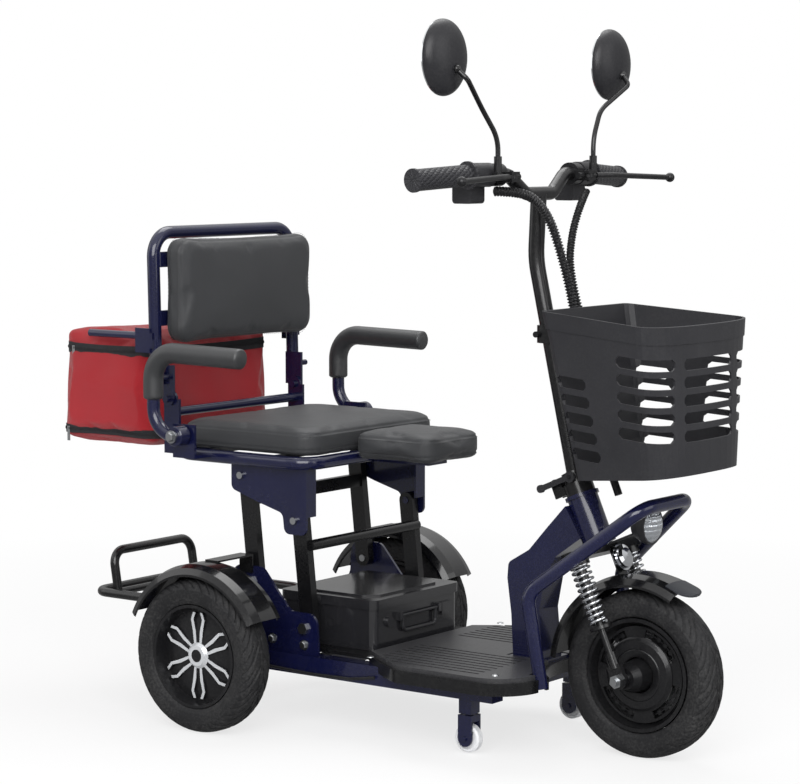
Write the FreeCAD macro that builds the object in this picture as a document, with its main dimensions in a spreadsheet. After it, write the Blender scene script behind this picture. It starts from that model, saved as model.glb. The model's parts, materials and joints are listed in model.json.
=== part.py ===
import FreeCAD, Part
import math
import operator
import os
from types import SimpleNamespace

import Sketcher
from FreeCAD import Placement, Rotation, Vector

# Folding electric three-wheel mobility scooter.
# +X is forward, +Y is the rider's left, +Z is up, the ground is z = 0, and the origin lies on the
# ground in the middle of the machine. Millimetres and degrees.

SIZES = {
    # wheels
    "rear_axle_x": -189, "rear_tyre_r": 128, "rear_track": 562, "rear_bead_r": 86,
    "front_axle_x": 492, "front_tyre_r": 134, "front_bead_r": 91,
    "tyre_width": 60, "rim_width": 52, "axle_r": 7, "front_pin_r": 6,
    "hub_face": 17, "hub_back": 38, "trim_count": 12,
    # clearances
    "bore_gap": 0.05, "face_gap": 0.3, "loose_gap": 0.3,
    # frame rails and deck
    "rail_y": 160, "rail_width": 30, "rail_low": 92, "rail_high": 124,
    "rail_rear": -316, "rail_front": 319, "frame_rear_x": -301,
    "deck_rear": 57, "deck_front": 388, "deck_half": 222, "deck_round": 75,
    "deck_rear_half": 150, "flare_x": 160, "flare_round": 60, "skirt_low": 114, "skirt_wall": 4,
    "notch_depth": 17, "notch_half": 11.4,
    "tray_rear": -171, "tray_half": 150, "pan_top": 134, "mat_top": 141, "mat_inset": 6,
    "wheel_arc": 157, "groove_pitch": 17, "groove_width": 5, "groove_depth": 2.5,
    # neck, head tube and steering axis
    "rake": 23.6, "head_r": 25, "head_bore": 20, "head_low": 222, "head_high": 296, "cup_height": 7.5,
    "steerer_r": 13, "neck_half": 28, "neck_foot_rear": 259, "neck_foot_front": 317, "knee_x": 247,
    "knee_height": 288,
    # guard in front of the column
    "guard_r": 11, "guard_front": 529, "guard_half": 69, "guard_high": 408,
    "guard_knee_x": 359, "guard_knee_half": 138, "guard_knee_z": 267, "guard_foot_x": 386,
    # fork
    "leg_half": 75, "crown_low": 200, "crown_high": 214, "rod_r": 6, "guide_r": 9, "guide_low": 128,
    "spring_low": 90, "spring_r": 14, "wire_r": 2.3, "spring_turns": 10, "rod_top": 165,
    "front_fender_gap": 24, "fender_wall": 3, "front_fender_half": 42, "front_fender_span": 113,
    "front_fender_lean": 28, "rear_fender_gap": 21, "rear_fender_half": 40,
    "rear_fender_span": 128, "rear_fender_lean": 2,
    # column, handlebar and controls
    "column_r": 13, "column_bend_x": 281, "column_bend_z": 785, "column_top_x": 286,
    "bar_r": 11, "bar_middle_z": 890, "bar_high_z": 921, "bar_high_x": 281, "bar_rise_half": 82, "bar_flat_half": 38,
    "bar_bend_x": 270, "bar_bend_half": 168, "bar_end_x": 252, "bar_end_half": 290, "bar_end_z": 914,
    "grip_r": 17, "grip_inner_half": 172, "lever_pivot_x": 309, "lever_pivot_half": 112,
    "lever_tip_x": 349, "lever_tip_half": 303,
    "mirror_stem_half": 138, "stem_back": 8, "mirror_x": 268, "mirror_half": 239, "mirror_z": 1101,
    "mirror_width": 106, "mirror_height": 118, "mirror_depth": 26,
    # basket
    "basket_x": 497.7, "basket_floor_z": 441.6, "basket_height": 259, "basket_pitch": 4.5,
    "basket_wall": 3, "basket_band": 27, "basket_band_out": 1.6,
    "base_rear": -70, "base_front": 112, "base_corner": 63, "base_rear_half": 107,
    "base_front_half": 124, "floor_slope": 9.9, "rim_rear": -144, "rim_front": 84, "rim_corner": 46,
    "rim_rear_half": 128, "rim_front_half": 155, "slot_height": 18, "slot_pitch": 27.4,
    "slot_rows": 5, "slot_low": 91, "side_slot_low": 44, "side_slot_length": 58,
    # battery
    "battery_rear": -153, "battery_front": 44, "battery_half": 118, "battery_low": 134.3,
    "battery_seam": 203, "battery_top": 222, "handle_half": 46,
    # seat linkage
    "front_pivot_x": -66, "front_pivot_z": 168, "link_dx": 115, "link_dz": 67.5,
    "leg_length": 180, "leg_lean": 6.1, "leg_width": 28, "leg_depth": 15, "leg_y": 150,
    "pivot_r": 6, "plate": 5, "plate_gap": 4.5, "foot_bar_r": 9, "foot_bar_up": 136,
    # seat
    "seat_tube_r": 11, "seat_tube_z": 445, "seat_half": 182, "seat_rear": -329, "seat_front": -47,
    "cushion_rear": -333, "cushion_front": -37, "cushion_half": 186, "cushion_low": 456.3,
    "cushion_high": 503, "pad_front": 127, "pad_half": 78, "pad_low": 446, "pad_high": 493,
    "arm_y": 252, "arm_pivot_x": -265, "arm_pivot_z": 484, "arm_rear_x": -320, "arm_top_z": 624,
    "arm_front_x": -133, "arm_tube_r": 11, "foam_r": 17, "foam_low": 541,
    # backrest and bag
    "back_pivot_x": -355, "back_pivot_z": 535, "back_half": 185, "back_top": 818, "back_x": -375,
    "back_cushion_low": 628, "back_cushion_high": 812, "back_cushion_half": 184,
    "back_cushion_depth": 46, "back_cushion_x": -361,
    "bag_rear": -626, "bag_front": -401, "bag_half": 161, "bag_low": 446, "bag_high": 648,
    # rear rack
    "rack_r": 8, "rack_rear": -580, "rack_half": 124, "rack_z": 172, "hoop_half": 104, "hoop_z": 244,
    # anti-tip wheels
    "tip_x": 259, "tip_y": 152, "tip_wheel_r": 23, "tip_axle_z": 26, "tip_wheel_width": 16,
    # folding joint and basket arm
    "fold_base": 322, "fold_back": 34, "fold_up": 9, "knuckle_half": 7.5, "arm_z": 665,
    # lamp and horn
    "lamp_x": 499, "lamp_z": 371, "lamp_r": 30, "horn_r": 22,
}

doc = FreeCAD.newDocument("MobilityScooter")
sheet = doc.addObject("Spreadsheet::Sheet", "Sizes")
NODES = []


class Size:
    """A number together with the sheet expression that gives it."""

    def __init__(self, value, text):
        self.value = float(value)
        self.text = text

    def __float__(self):
        return self.value

    def __neg__(self):
        return join(0, "-", self)

    def __add__(self, other):
        return join(self, "+", other)

    def __radd__(self, other):
        return join(other, "+", self)

    def __sub__(self, other):
        return join(self, "-", other)

    def __rsub__(self, other):
        return join(other, "-", self)

    def __mul__(self, other):
        return join(self, "*", other)

    def __rmul__(self, other):
        return join(other, "*", self)

    def __truediv__(self, other):
        return join(self, "/", other)

    def __rtruediv__(self, other):
        return join(other, "/", self)


OPERATIONS = {"+": operator.add, "-": operator.sub, "*": operator.mul, "/": operator.truediv}


def text_of(value):
    """The sheet expression of a Size, or a plain number as text."""
    if isinstance(value, Size):
        return value.text
    return "(%.6f)" % value


def join(left, sign, right):
    """Two sizes or numbers joined by one sign."""
    value = OPERATIONS[sign](float(left), float(right))
    return Size(value, "(%s %s %s)" % (text_of(left), sign, text_of(right)))


def sine(angle):
    """The sine of an angle in degrees."""
    return Size(math.sin(math.radians(float(angle))), "sin(%s * 1deg)" % text_of(angle))


def cosine(angle):
    """The cosine of an angle in degrees."""
    return Size(math.cos(math.radians(float(angle))), "cos(%s * 1deg)" % text_of(angle))


def fill_sheet():
    """Write the driving dimensions and return them as bound sizes."""
    names = {}
    for row, (alias, value) in enumerate(SIZES.items(), start=1):
        sheet.set("A%d" % row, alias)
        sheet.set("B%d" % row, str(value))
        sheet.setAlias("B%d" % row, alias)
        names[alias] = Size(value, "Sizes.%s" % alias)
    doc.recompute()
    return SimpleNamespace(**names)


S = fill_sheet()


# ------------------------------------------------------------------ helpers
def bind(item, prop, value, unit=""):
    """Set a property from a number, or tie it to the sheet when the value is a Size."""
    if isinstance(value, Size):
        item.setExpression(prop, "%s%s" % (value.text, unit))
    else:
        setattr(item, prop, value)


def at(x, y, z):
    """A point from sizes or numbers."""
    return Vector(float(x), float(y), float(z))


def place(item, x=0, y=0, z=0, turn=None, angle=0):
    """Put an item at a point, turned about an axis, with each size tied to the sheet."""
    turn = turn or Vector(0, 0, 1)
    item.Placement = Placement(at(x, y, z), Rotation(turn, float(angle)))
    for prop, value in (("Base.x", x), ("Base.y", y), ("Base.z", z)):
        if isinstance(value, Size):
            item.setExpression("Placement." + prop, value.text)
    if isinstance(angle, Size):
        item.setExpression("Placement.Rotation.Angle", "%s * 1deg" % angle.text)
    return item


BACK = Vector(0, -1, 0)


def on_steering_axis(item):
    """Stand an item on the front axle with its Z along the raked steering axis."""
    return place(item, S.front_axle_x, 0, S.front_tyre_r, BACK, S.rake)


def steering_point(forward, side, up):
    """A point given in the steering frame, in machine coordinates."""
    x = S.front_axle_x + cosine(S.rake) * forward - sine(S.rake) * up
    z = S.front_tyre_r + sine(S.rake) * forward + cosine(S.rake) * up
    return at(x, side, z)


def keep(item, label):
    """Name a finished sub-part and list it for export."""
    item.Label = label
    NODES.append(item)
    return item


def box(x0, x1, y0, y1, z0, z1):
    """A block between two corners."""
    item = doc.addObject("Part::Box", "Block")
    for prop, low, high in (("Length", x0, x1), ("Width", y0, y1), ("Height", z0, z1)):
        bind(item, prop, high - low)
    return place(item, x0, y0, z0)


TURNS = {"x": (Vector(0, 1, 0), 90), "y": (Vector(-1, 0, 0), 90), "z": (Vector(0, 0, 1), 0)}


def rod(x, y, z, axis, radius, length):
    """A cylinder from a point along an axis."""
    item = doc.addObject("Part::Cylinder", "Rod")
    bind(item, "Radius", radius)
    bind(item, "Height", length)
    turn, angle = TURNS[axis]
    return place(item, x, y, z, turn, angle)


def cross_rod(x, z, radius, half):
    """A cylinder along Y, centred on the middle plane."""
    return rod(x, -half, z, "y", radius, half * 2)


def fuse(*items):
    """One solid from several."""
    item = doc.addObject("Part::MultiFuse", "Joined")
    item.Shapes = list(items)
    item.Refine = True
    return item


def cut(base, *tools):
    """A solid less its tools."""
    item = doc.addObject("Part::Cut", "Trimmed")
    item.Base = base
    item.Tool = tools[0] if len(tools) == 1 else fuse(*tools)
    item.Refine = True
    return item


def group(*items):
    """Separate solids that share one node."""
    item = doc.addObject("Part::Compound", "Group")
    item.Links = list(items)
    return item


def mirror(item):
    """The same piece on the other side of the middle plane."""
    copy = doc.addObject("Part::Mirroring", "OtherSide")
    copy.Source = item
    copy.Normal = Vector(0, 1, 0)
    return copy


def both(item):
    """A piece and its mirror image as one group."""
    return group(item, mirror(item))


def feature(shape):
    """A code-made shape as a document object."""
    item = doc.addObject("Part::Feature", "Shaped")
    item.Shape = shape
    return item


def path(points, bends):
    """A wire of straight runs through the points, joined by tangent arcs."""
    if not isinstance(bends, (list, tuple)):
        bends = [bends] * (len(points) - 2)
    edges = []
    start = points[0]
    for before, corner, after, bend in zip(points, points[1:], points[2:], bends):
        back = (before - corner).normalize()
        ahead = (after - corner).normalize()
        half = back.getAngle(ahead) / 2
        setback = float(bend) / math.tan(half)
        inward = (back + ahead).normalize()
        middle = corner + inward * (float(bend) / math.sin(half) - float(bend))
        first = corner + back * setback
        last = corner + ahead * setback
        if (first - start).Length > 1e-3:
            edges.append(Part.LineSegment(start, first).toShape())
        edges.append(Part.Arc(first, middle, last).toShape())
        start = last
    edges.append(Part.LineSegment(start, points[-1]).toShape())
    return Part.Wire(edges)


def tube(points, bends, radius):
    """A round bar swept along a path of runs and arcs."""
    spine = path(points, bends)
    ring = Part.Wire(Part.makeCircle(float(radius), points[0], points[1] - points[0]))
    return spine.makePipeShell([ring], True, False)


def body(label=None):
    """A new body, kept under its label when it has one."""
    item = doc.addObject("PartDesign::Body", "Body")
    if label:
        keep(item, label)
    return item


def origin_part(item, role):
    """An origin plane or axis of a body."""
    return [part for part in item.Origin.OriginFeatures if part.Role == role][0]


def sketch(item, plane, offset=0):
    """A sketch on one of the body's own origin planes, moved along its normal."""
    drawing = item.newObject("Sketcher::SketchObject", "Outline")
    drawing.AttachmentSupport = [(origin_part(item, plane), "")]
    drawing.MapMode = "FlatFace"
    drawing.AttachmentOffset = Placement(at(0, 0, offset), Rotation())
    if isinstance(offset, Size):
        drawing.setExpression("AttachmentOffset.Base.z", offset.text)
    return drawing


def pin_point(drawing, geometry, end, x, y):
    """Fix a sketch point by its two coordinates."""
    for kind, value in (("DistanceX", x), ("DistanceY", y)):
        index = drawing.addConstraint(Sketcher.Constraint(kind, geometry, end, float(value)))
        if isinstance(value, Size):
            drawing.setExpression("Constraints[%d]" % index, value.text)


def polygon(drawing, corners):
    """A closed outline with straight sides, each corner tied to its sizes."""
    first = drawing.GeometryCount
    count = len(corners)
    for index, (x, y) in enumerate(corners):
        nx, ny = corners[(index + 1) % count]
        drawing.addGeometry(Part.LineSegment(at(x, y, 0), at(nx, ny, 0)))
    for index, (x, y) in enumerate(corners):
        following = first + (index + 1) % count
        drawing.addConstraint(Sketcher.Constraint("Coincident", first + index, 2, following, 1))
        pin_point(drawing, first + index, 1, x, y)


def circle(drawing, x, y, radius):
    """A circle tied to its centre and radius."""
    index = drawing.addGeometry(Part.Circle(at(x, y, 0), Vector(0, 0, 1), float(radius)))
    pin_point(drawing, index, 3, x, y)
    limit = drawing.addConstraint(Sketcher.Constraint("Radius", index, float(radius)))
    if isinstance(radius, Size):
        drawing.setExpression("Constraints[%d]" % limit, radius.text)


def rectangle(x0, x1, y0, y1):
    """The four corners of an upright rectangle."""
    return [(x0, y0), (x1, y0), (x1, y1), (x0, y1)]


def pad(item, drawing, length, middle=False, away=False):
    """Thicken an outline."""
    solid = item.newObject("PartDesign::Pad", "Pad")
    solid.Profile = drawing
    solid.Reversed = away
    solid.SideType = "Symmetric" if middle else "One side"
    bind(solid, "Length", length)
    return solid


def pocket(item, drawing, depth=None, away=False, middle=False):
    """Cut an outline away, right through when no depth is given."""
    hollow = item.newObject("PartDesign::Pocket", "Pocket")
    hollow.Profile = drawing
    hollow.Reversed = away
    hollow.SideType = "Symmetric" if middle else "One side"
    if depth is None:
        hollow.Type = "ThroughAll"
    else:
        bind(hollow, "Length", depth)
    return hollow


def revolve(item, drawing, angle=360):
    """Turn an outline about its horizontal axis, even to both sides of its plane."""
    solid = item.newObject("PartDesign::Revolution", "Revolution")
    solid.Profile = drawing
    solid.ReferenceAxis = (drawing, ["H_Axis"])
    solid.Midplane = True
    bind(solid, "Angle", angle)
    return solid


def around(item, feature_made, axis, count):
    """Repeat a feature evenly around an origin axis."""
    pattern = item.newObject("PartDesign::PolarPattern", "Around")
    pattern.Originals = [feature_made]
    pattern.Axis = (origin_part(item, axis), [""])
    pattern.Angle = 360
    bind(pattern, "Occurrences", count)
    item.Tip = pattern
    return pattern


def along(item, feature_made, axis, length, count):
    """Repeat a feature evenly along an origin axis."""
    pattern = item.newObject("PartDesign::LinearPattern", "Along")
    pattern.Originals = [feature_made]
    pattern.Direction = (origin_part(item, axis), [""])
    bind(pattern, "Length", length)
    bind(pattern, "Occurrences", count)
    item.Tip = pattern
    return pattern


def round_edges(item, base, radius, wanted):
    """Round the edges of a feature that pass a test on the edge."""
    doc.recompute()
    names = []
    for index, edge in enumerate(base.Shape.Edges, start=1):
        if wanted(edge):
            names.append("Edge%d" % index)
    rounded = item.newObject("PartDesign::Fillet", "Rounded")
    rounded.Base = (base, names)
    bind(rounded, "Radius", radius)
    return rounded


def runs_along(edge, axis):
    """True for a straight edge that lies along an axis."""
    if not isinstance(edge.Curve, Part.Line):
        return False
    return abs(edge.Curve.Direction.dot(axis)) > 0.999


X_WAY = Vector(1, 0, 0)
Y_WAY = Vector(0, 1, 0)
Z_WAY = Vector(0, 0, 1)
SIDES = (("right", -1), ("left", 1))


# ------------------------------------------------------------------ chassis
def base_frame():
    """Welded frame: side rails, cross members and the fixed rear axle."""
    rail_in = S.rail_y - S.rail_width / 2
    rail_out = S.rail_y + S.rail_width / 2
    rails = []
    for low, high in ((-rail_out, -rail_in), (rail_in, rail_out)):
        rails.append(box(S.rail_rear, S.rail_front, low, high, S.rail_low, S.rail_high))
    crosses = []
    for middle, wide in ((S.frame_rear_x, 30), (S.rear_axle_x, 28), (S.front_pivot_x, 26),
                         (S.deck_rear + 20, 26), (S.neck_foot_rear + 20, 40)):
        crosses.append(box(middle - wide / 2, middle + wide / 2, -rail_in, rail_in,
                           S.rail_low, S.rail_high - 8))
    carrier_in = rail_out + 22
    carriers = []
    for low, high in ((-carrier_in - 6, -carrier_in), (carrier_in, carrier_in + 6)):
        carriers.append(box(S.rear_axle_x - 22, S.rear_axle_x + 22, low, high,
                            S.rail_low, S.rear_tyre_r + 22))
    outrigger = box(S.rear_axle_x - 12, S.rear_axle_x + 12, -carrier_in, carrier_in,
                    S.rail_low, S.rail_high - 10)
    tube_axle = cross_rod(S.rear_axle_x, S.rear_tyre_r, 11, carrier_in)
    axle = cross_rod(S.rear_axle_x, S.rear_tyre_r, S.axle_r, S.rear_track / 2 - 3)
    nuts = [rod(S.rear_axle_x, low, S.rear_tyre_r, "y", 13, 8)
            for low in (-carrier_in - 14, carrier_in + 6)]
    keep(fuse(*rails, *crosses, *carriers, outrigger, tube_axle, axle, *nuts), "base_frame")


def side_plates():
    """Upright plates with an S-curved top that carry the lower leg pivots."""
    rear_x = S.front_pivot_x - S.link_dx
    rear_z = S.front_pivot_z + S.link_dz
    item = body()
    drawing = sketch(item, "XZ_Plane", S.leg_y + S.leg_depth / 2 + S.plate_gap)
    polygon(drawing, [(rear_x - 50, S.rail_high), (S.front_pivot_x + 30, S.rail_high),
                      (S.front_pivot_x + 26, S.front_pivot_z + 26),
                      (S.front_pivot_x - 30, S.front_pivot_z + 26),
                      (rear_x + 26, rear_z + 27), (rear_x - 38, rear_z + 27)])
    for x, z in ((rear_x, rear_z), (S.front_pivot_x, S.front_pivot_z)):
        circle(drawing, x, z, S.pivot_r)
    solid = pad(item, drawing, S.plate)
    round_edges(item, solid, 20, lambda edge: runs_along(edge, Y_WAY)
                and edge.CenterOfMass.z > float(S.front_pivot_z))
    axle = cross_rod(S.rear_axle_x, S.rear_tyre_r, 11 + S.loose_gap, S.leg_y + 50)
    keep(cut(both(item), axle), "side_plates")


def deck_outline(inset):
    """Corners of the deck, narrower by an inset, which flares from the battery to full width."""
    side = S.deck_half - inset
    front = S.deck_front - inset
    rear = S.deck_rear_half - inset
    return [(S.deck_rear, -rear), (S.flare_x, -side), (front, -side), (front, side),
            (S.flare_x, side), (S.deck_rear, rear)]


def deck_plate(inset, low, thick):
    """A deck layer with rounded corners, notches for the guard and an arc round the wheel."""
    item = body()
    outline = sketch(item, "XY_Plane", low)
    polygon(outline, deck_outline(inset))
    solid = pad(item, outline, thick)
    for radius, first, last in ((S.deck_round - inset, S.neck_foot_front, S.deck_front + 1),
                                (S.flare_round - inset, S.flare_x - 1, S.flare_x + 1)):
        solid = round_edges(item, solid, radius, lambda edge: runs_along(edge, Z_WAY)
                            and float(first) < edge.CenterOfMass.x < float(last))
        doc.recompute()
    arc = sketch(item, "XY_Plane", low + thick)
    circle(arc, S.front_axle_x, 0, S.wheel_arc + inset)
    pocket(item, arc)
    notches = sketch(item, "XY_Plane", low + thick)
    for side in (-1, 1):
        middle = side * (S.guard_knee_half - 2)
        polygon(notches, rectangle(S.guard_foot_x - S.notch_depth, S.deck_front + 5,
                                   middle - S.notch_half, middle + S.notch_half))
    pocket(item, notches)
    return item


def deck_pan():
    """Pressed deck with a skirt outside the rails and a narrower tray that carries the battery."""
    item = deck_plate(0, S.rail_high, S.pan_top - S.rail_high)
    rim = cut(deck_plate(0, S.skirt_low, S.rail_high - S.skirt_low),
              deck_plate(S.skirt_wall, S.skirt_low - 1, S.rail_high - S.skirt_low + 2),
              box(S.deck_rear - 1, S.rail_front + 2, -S.rail_y - 17, S.rail_y + 17,
                  S.skirt_low - 1, S.rail_high + 1))
    tray = box(S.tray_rear, S.deck_rear, -S.tray_half, S.tray_half, S.pan_top - 6, S.pan_top)
    feet = []
    for x in (S.tray_rear, S.front_pivot_x - 10):
        for side in (-1, 1):
            y = side * (S.tray_half - 14)
            feet.append(box(x, x + 20, y - 10, y + 10, S.rail_high, S.pan_top - 6))
    keep(fuse(item, rim, tray, *feet), "deck_pan")


def floor_mat():
    """Rubber mat with long grooves, cut away round the neck foot."""
    item = deck_plate(S.mat_inset, S.pan_top, S.mat_top - S.pan_top)
    foot = sketch(item, "XY_Plane", S.mat_top)
    polygon(foot, rectangle(S.neck_foot_rear - 8, S.neck_foot_front + 30,
                            -S.neck_half - 8, S.neck_half + 8))
    pocket(item, foot)
    for side in (-1, 1):
        groove = sketch(item, "XY_Plane", S.mat_top)
        inner = S.neck_half + 24
        low, high = inner, inner + S.groove_width
        if side < 0:
            low, high = -high, -low
        polygon(groove, rectangle(S.deck_rear + 34, S.deck_front - 84, low, high))
        cutter = pocket(item, groove, S.groove_depth)
        doc.recompute()
        pattern = along(item, cutter, "Y_Axis", S.groove_pitch * 8, 9)
        pattern.Reversed = side < 0
        doc.recompute()
    keep(item, "floor_mat")


def neck_frame():
    """Hollow-looking neck that rises from the deck, kinks back and carries the head tube."""
    head_back = S.head_r / cosine(S.rake)
    low_x = S.front_axle_x - sine(S.rake) * S.head_low
    low_z = S.front_tyre_r + cosine(S.rake) * S.head_low
    high_x = S.front_axle_x - sine(S.rake) * (S.head_high - 14)
    high_z = S.front_tyre_r + cosine(S.rake) * (S.head_high - 14)
    item = body()
    side = sketch(item, "XZ_Plane")
    polygon(side, [(S.neck_foot_rear, S.pan_top), (S.neck_foot_rear - 4, S.knee_height - 80),
                   (S.knee_x, S.knee_height - 22), (S.knee_x + 2, S.knee_height + 4),
                   (S.knee_x + 42, S.knee_height + 28), (high_x - 58, high_z - 40),
                   (high_x - head_back + 6, high_z), (low_x - head_back + 12, low_z + 6),
                   (S.neck_foot_front + 24, S.knee_height + 22),
                   (S.neck_foot_front + 2, S.knee_height - 18),
                   (S.neck_foot_front - 8, S.knee_height - 70), (S.neck_foot_front, S.pan_top)])
    solid = pad(item, side, S.neck_half * 2, middle=True)
    round_edges(item, solid, 12, lambda edge: runs_along(edge, Y_WAY)
                and edge.CenterOfMass.z > float(S.knee_height) - 90
                and edge.CenterOfMass.x < float(S.neck_foot_front) + 30)
    doc.recompute()
    bore = rod(0, 0, 0, "z", S.head_r + 0.05, S.head_high + 60)
    on_steering_axis(bore)
    foot = box(S.neck_foot_rear - 6, S.neck_foot_front + 10, -S.neck_half - 6, S.neck_half + 6,
               S.pan_top, S.pan_top + 6)
    keep(fuse(cut(item, bore), foot), "neck_frame")


def head_parts():
    """Head tube and the two bearing cups that the steerer turns in."""
    tube_out = rod(0, 0, S.head_low, "z", S.head_r, S.head_high - S.head_low)
    tube_in = rod(0, 0, S.head_low - 1, "z", S.head_bore, S.head_high - S.head_low + 2)
    shell = cut(tube_out, tube_in)
    cups = []
    for low in (S.head_low - S.cup_height + 1.5, S.head_high - 0.0):
        ring = rod(0, 0, low, "z", S.head_r + 3, S.cup_height - 1.5)
        hole = rod(0, 0, low - 1, "z", S.steerer_r + S.bore_gap, S.cup_height + 1)
        cups.append(cut(ring, hole))
    keep(on_steering_axis(group(shell, *cups)), "head_tube")


def bumper_guard():
    """Bent guard tube that runs from the deck corners round the front of the column."""
    foot = S.rail_high - 6
    side = [at(S.guard_foot_x, -S.guard_knee_half + 2, foot),
            at(S.guard_knee_x, -S.guard_knee_half, S.guard_knee_z),
            at(S.guard_front, -S.guard_half, S.guard_high)]
    other = [at(p.x, -p.y, p.z) for p in reversed(side)]
    whole = tube(side + other, [34, 34, 34, 34], S.guard_r)
    for low in (-S.guard_knee_half - 8, S.guard_knee_half - 12):
        whole = whole.fuse(block(S.guard_foot_x - S.notch_depth, S.guard_foot_x - 2, low, low + 20,
                                 S.rail_high + 3, S.pan_top - 3))
    keep(feature(whole.removeSplitter()), "bumper_guard")


def rear_rack():
    """Rear carrier of bent tube with a raised hoop and two stays."""
    foot_x = S.frame_rear_x + 2
    half = S.rack_half
    loop = [at(foot_x, -half, S.rail_high - 8), at(foot_x, -half, S.rack_z),
            at(S.rack_rear, -half, S.rack_z), at(S.rack_rear, half, S.rack_z),
            at(foot_x, half, S.rack_z), at(foot_x, half, S.rail_high - 8)]
    frame = tube(loop, [26, 30, 30, 26], S.rack_r)
    hoop_x = S.rack_rear + 26
    inner = S.hoop_half
    hoop = [at(hoop_x + 12, -inner, S.rack_z), at(hoop_x, -inner, S.hoop_z),
            at(hoop_x, inner, S.hoop_z), at(hoop_x + 12, inner, S.rack_z)]
    rise = tube(hoop, [26, 26], S.rack_r)
    bars = []
    for x in (hoop_x + 12, hoop_x + 104):
        line = Part.makeCylinder(float(S.rack_r) - 1.5, float(half) * 2, at(x, -half, S.rack_z - 1),
                                 Y_WAY)
        bars.append(line)
    for side in (-1, 1):
        y = side * (float(half) - 22)
        bars.append(tube([at(hoop_x + 104, y, S.rack_z - 2), at(hoop_x + 118, y, S.rail_high - 18),
                          at(S.frame_rear_x - 15, y, S.rail_high - 18)], 24, 5))
    keep(feature(frame.fuse([rise] + bars).removeSplitter()), "rear_rack")


def fender_profile(drawing, inner, half, wall):
    """Arched section of a fender, open towards the tyre."""
    polygon(drawing, [(-half, inner - 16), (-half * 0.82, inner - 5), (-half * 0.45, inner),
                      (half * 0.45, inner), (half * 0.82, inner - 5), (half, inner - 16),
                      (half, inner - 12), (half * 0.86, inner - 5 + wall),
                      (half * 0.48, inner + wall), (-half * 0.48, inner + wall),
                      (-half * 0.86, inner - 5 + wall), (-half, inner - 12)])


def rear_fenders():
    """Glossy fender over each rear wheel on a flat stay from the side plate."""
    inner = S.rear_tyre_r + S.rear_fender_gap
    middle = S.rear_track / 2 - 9
    for name, side in SIDES:
        item = body()
        section = sketch(item, "YZ_Plane")
        fender_profile(section, inner, S.rear_fender_half, S.fender_wall)
        revolve(item, section, S.rear_fender_span)
        place(item, S.rear_axle_x, side * middle, S.rear_tyre_r, BACK, S.rear_fender_lean)
        near = S.leg_y + S.leg_depth / 2 + S.plate_gap + S.plate
        far = middle - S.rear_fender_half * 0.45 + 4
        top = S.rear_tyre_r + inner
        low, high = (near, far) if side > 0 else (-far, -near)
        shelf = box(S.rear_axle_x - 14, S.rear_axle_x + 14, low, high, top + S.fender_wall - 0.5,
                    top + S.fender_wall + 2.5)
        lip_low = near if side > 0 else -near - 3
        lip = box(S.rear_axle_x - 14, S.rear_axle_x + 14, lip_low, lip_low + 3,
                  top - 26, top + S.fender_wall + 2.5)
        keep(fuse(item, shelf, lip), "rear_fender_" + name)


def battery_case():
    """Removable battery box with a proud lid, a panel on top and handle ears."""
    item = body()
    base = sketch(item, "XY_Plane", S.battery_low)
    polygon(base, rectangle(S.battery_rear, S.battery_front, -S.battery_half, S.battery_half))
    solid = pad(item, base, S.battery_seam - S.battery_low)
    round_edges(item, solid, 12, lambda edge: runs_along(edge, Z_WAY))
    doc.recompute()
    lid = sketch(item, "XY_Plane", S.battery_seam)
    polygon(lid, rectangle(S.battery_rear - 3, S.battery_front + 3, -S.battery_half - 3,
                           S.battery_half + 3))
    cover = pad(item, lid, S.battery_top - S.battery_seam - 3)
    rounded = round_edges(item, cover, 12, lambda edge: runs_along(edge, Z_WAY)
                          and edge.CenterOfMass.z > float(S.battery_seam))
    doc.recompute()
    panel = sketch(item, "XY_Plane", S.battery_top - 3)
    polygon(panel, [(S.battery_rear + 22, -S.battery_half + 40), (S.battery_rear + 50,
                    -S.battery_half + 18), (S.battery_front - 40, -S.battery_half + 18),
                    (S.battery_front - 18, -S.battery_half + 40),
                    (S.battery_front - 18, S.battery_half - 40),
                    (S.battery_front - 40, S.battery_half - 18),
                    (S.battery_rear + 50, S.battery_half - 18),
                    (S.battery_rear + 22, S.battery_half - 40)])
    pad(item, panel, 3)
    doc.recompute()
    face = S.battery_front
    ears = []
    for side in (-1, 1):
        y = side * (S.handle_half + 9)
        ears.append(box(face - 1, face + 9, y - 4, y + 4, S.battery_seam - 25, S.battery_seam - 11))
    latch = box(face - 1, face + 5, 66, 92, S.battery_seam - 34, S.battery_seam - 12)
    socket = rod(face - 1, -80, S.battery_seam - 24, "x", 9, 6)
    keep(fuse(item, *ears, latch, socket), "battery_case")


def battery_handle():
    """Swinging bail on the front of the battery box."""
    x = S.battery_front + 5
    z = S.battery_seam - 18
    half = S.handle_half
    bail = tube([at(x, -half, z), at(x, -half, z - 26), at(x, half, z - 26), at(x, half, z)],
                9, 3.2)
    pins = Part.makeCylinder(2.4, float(half) * 2 + 9.6, at(x, -half - 4.8, z), Y_WAY)
    keep(feature(bail.fuse(pins).removeSplitter()), "battery_handle")


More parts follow.
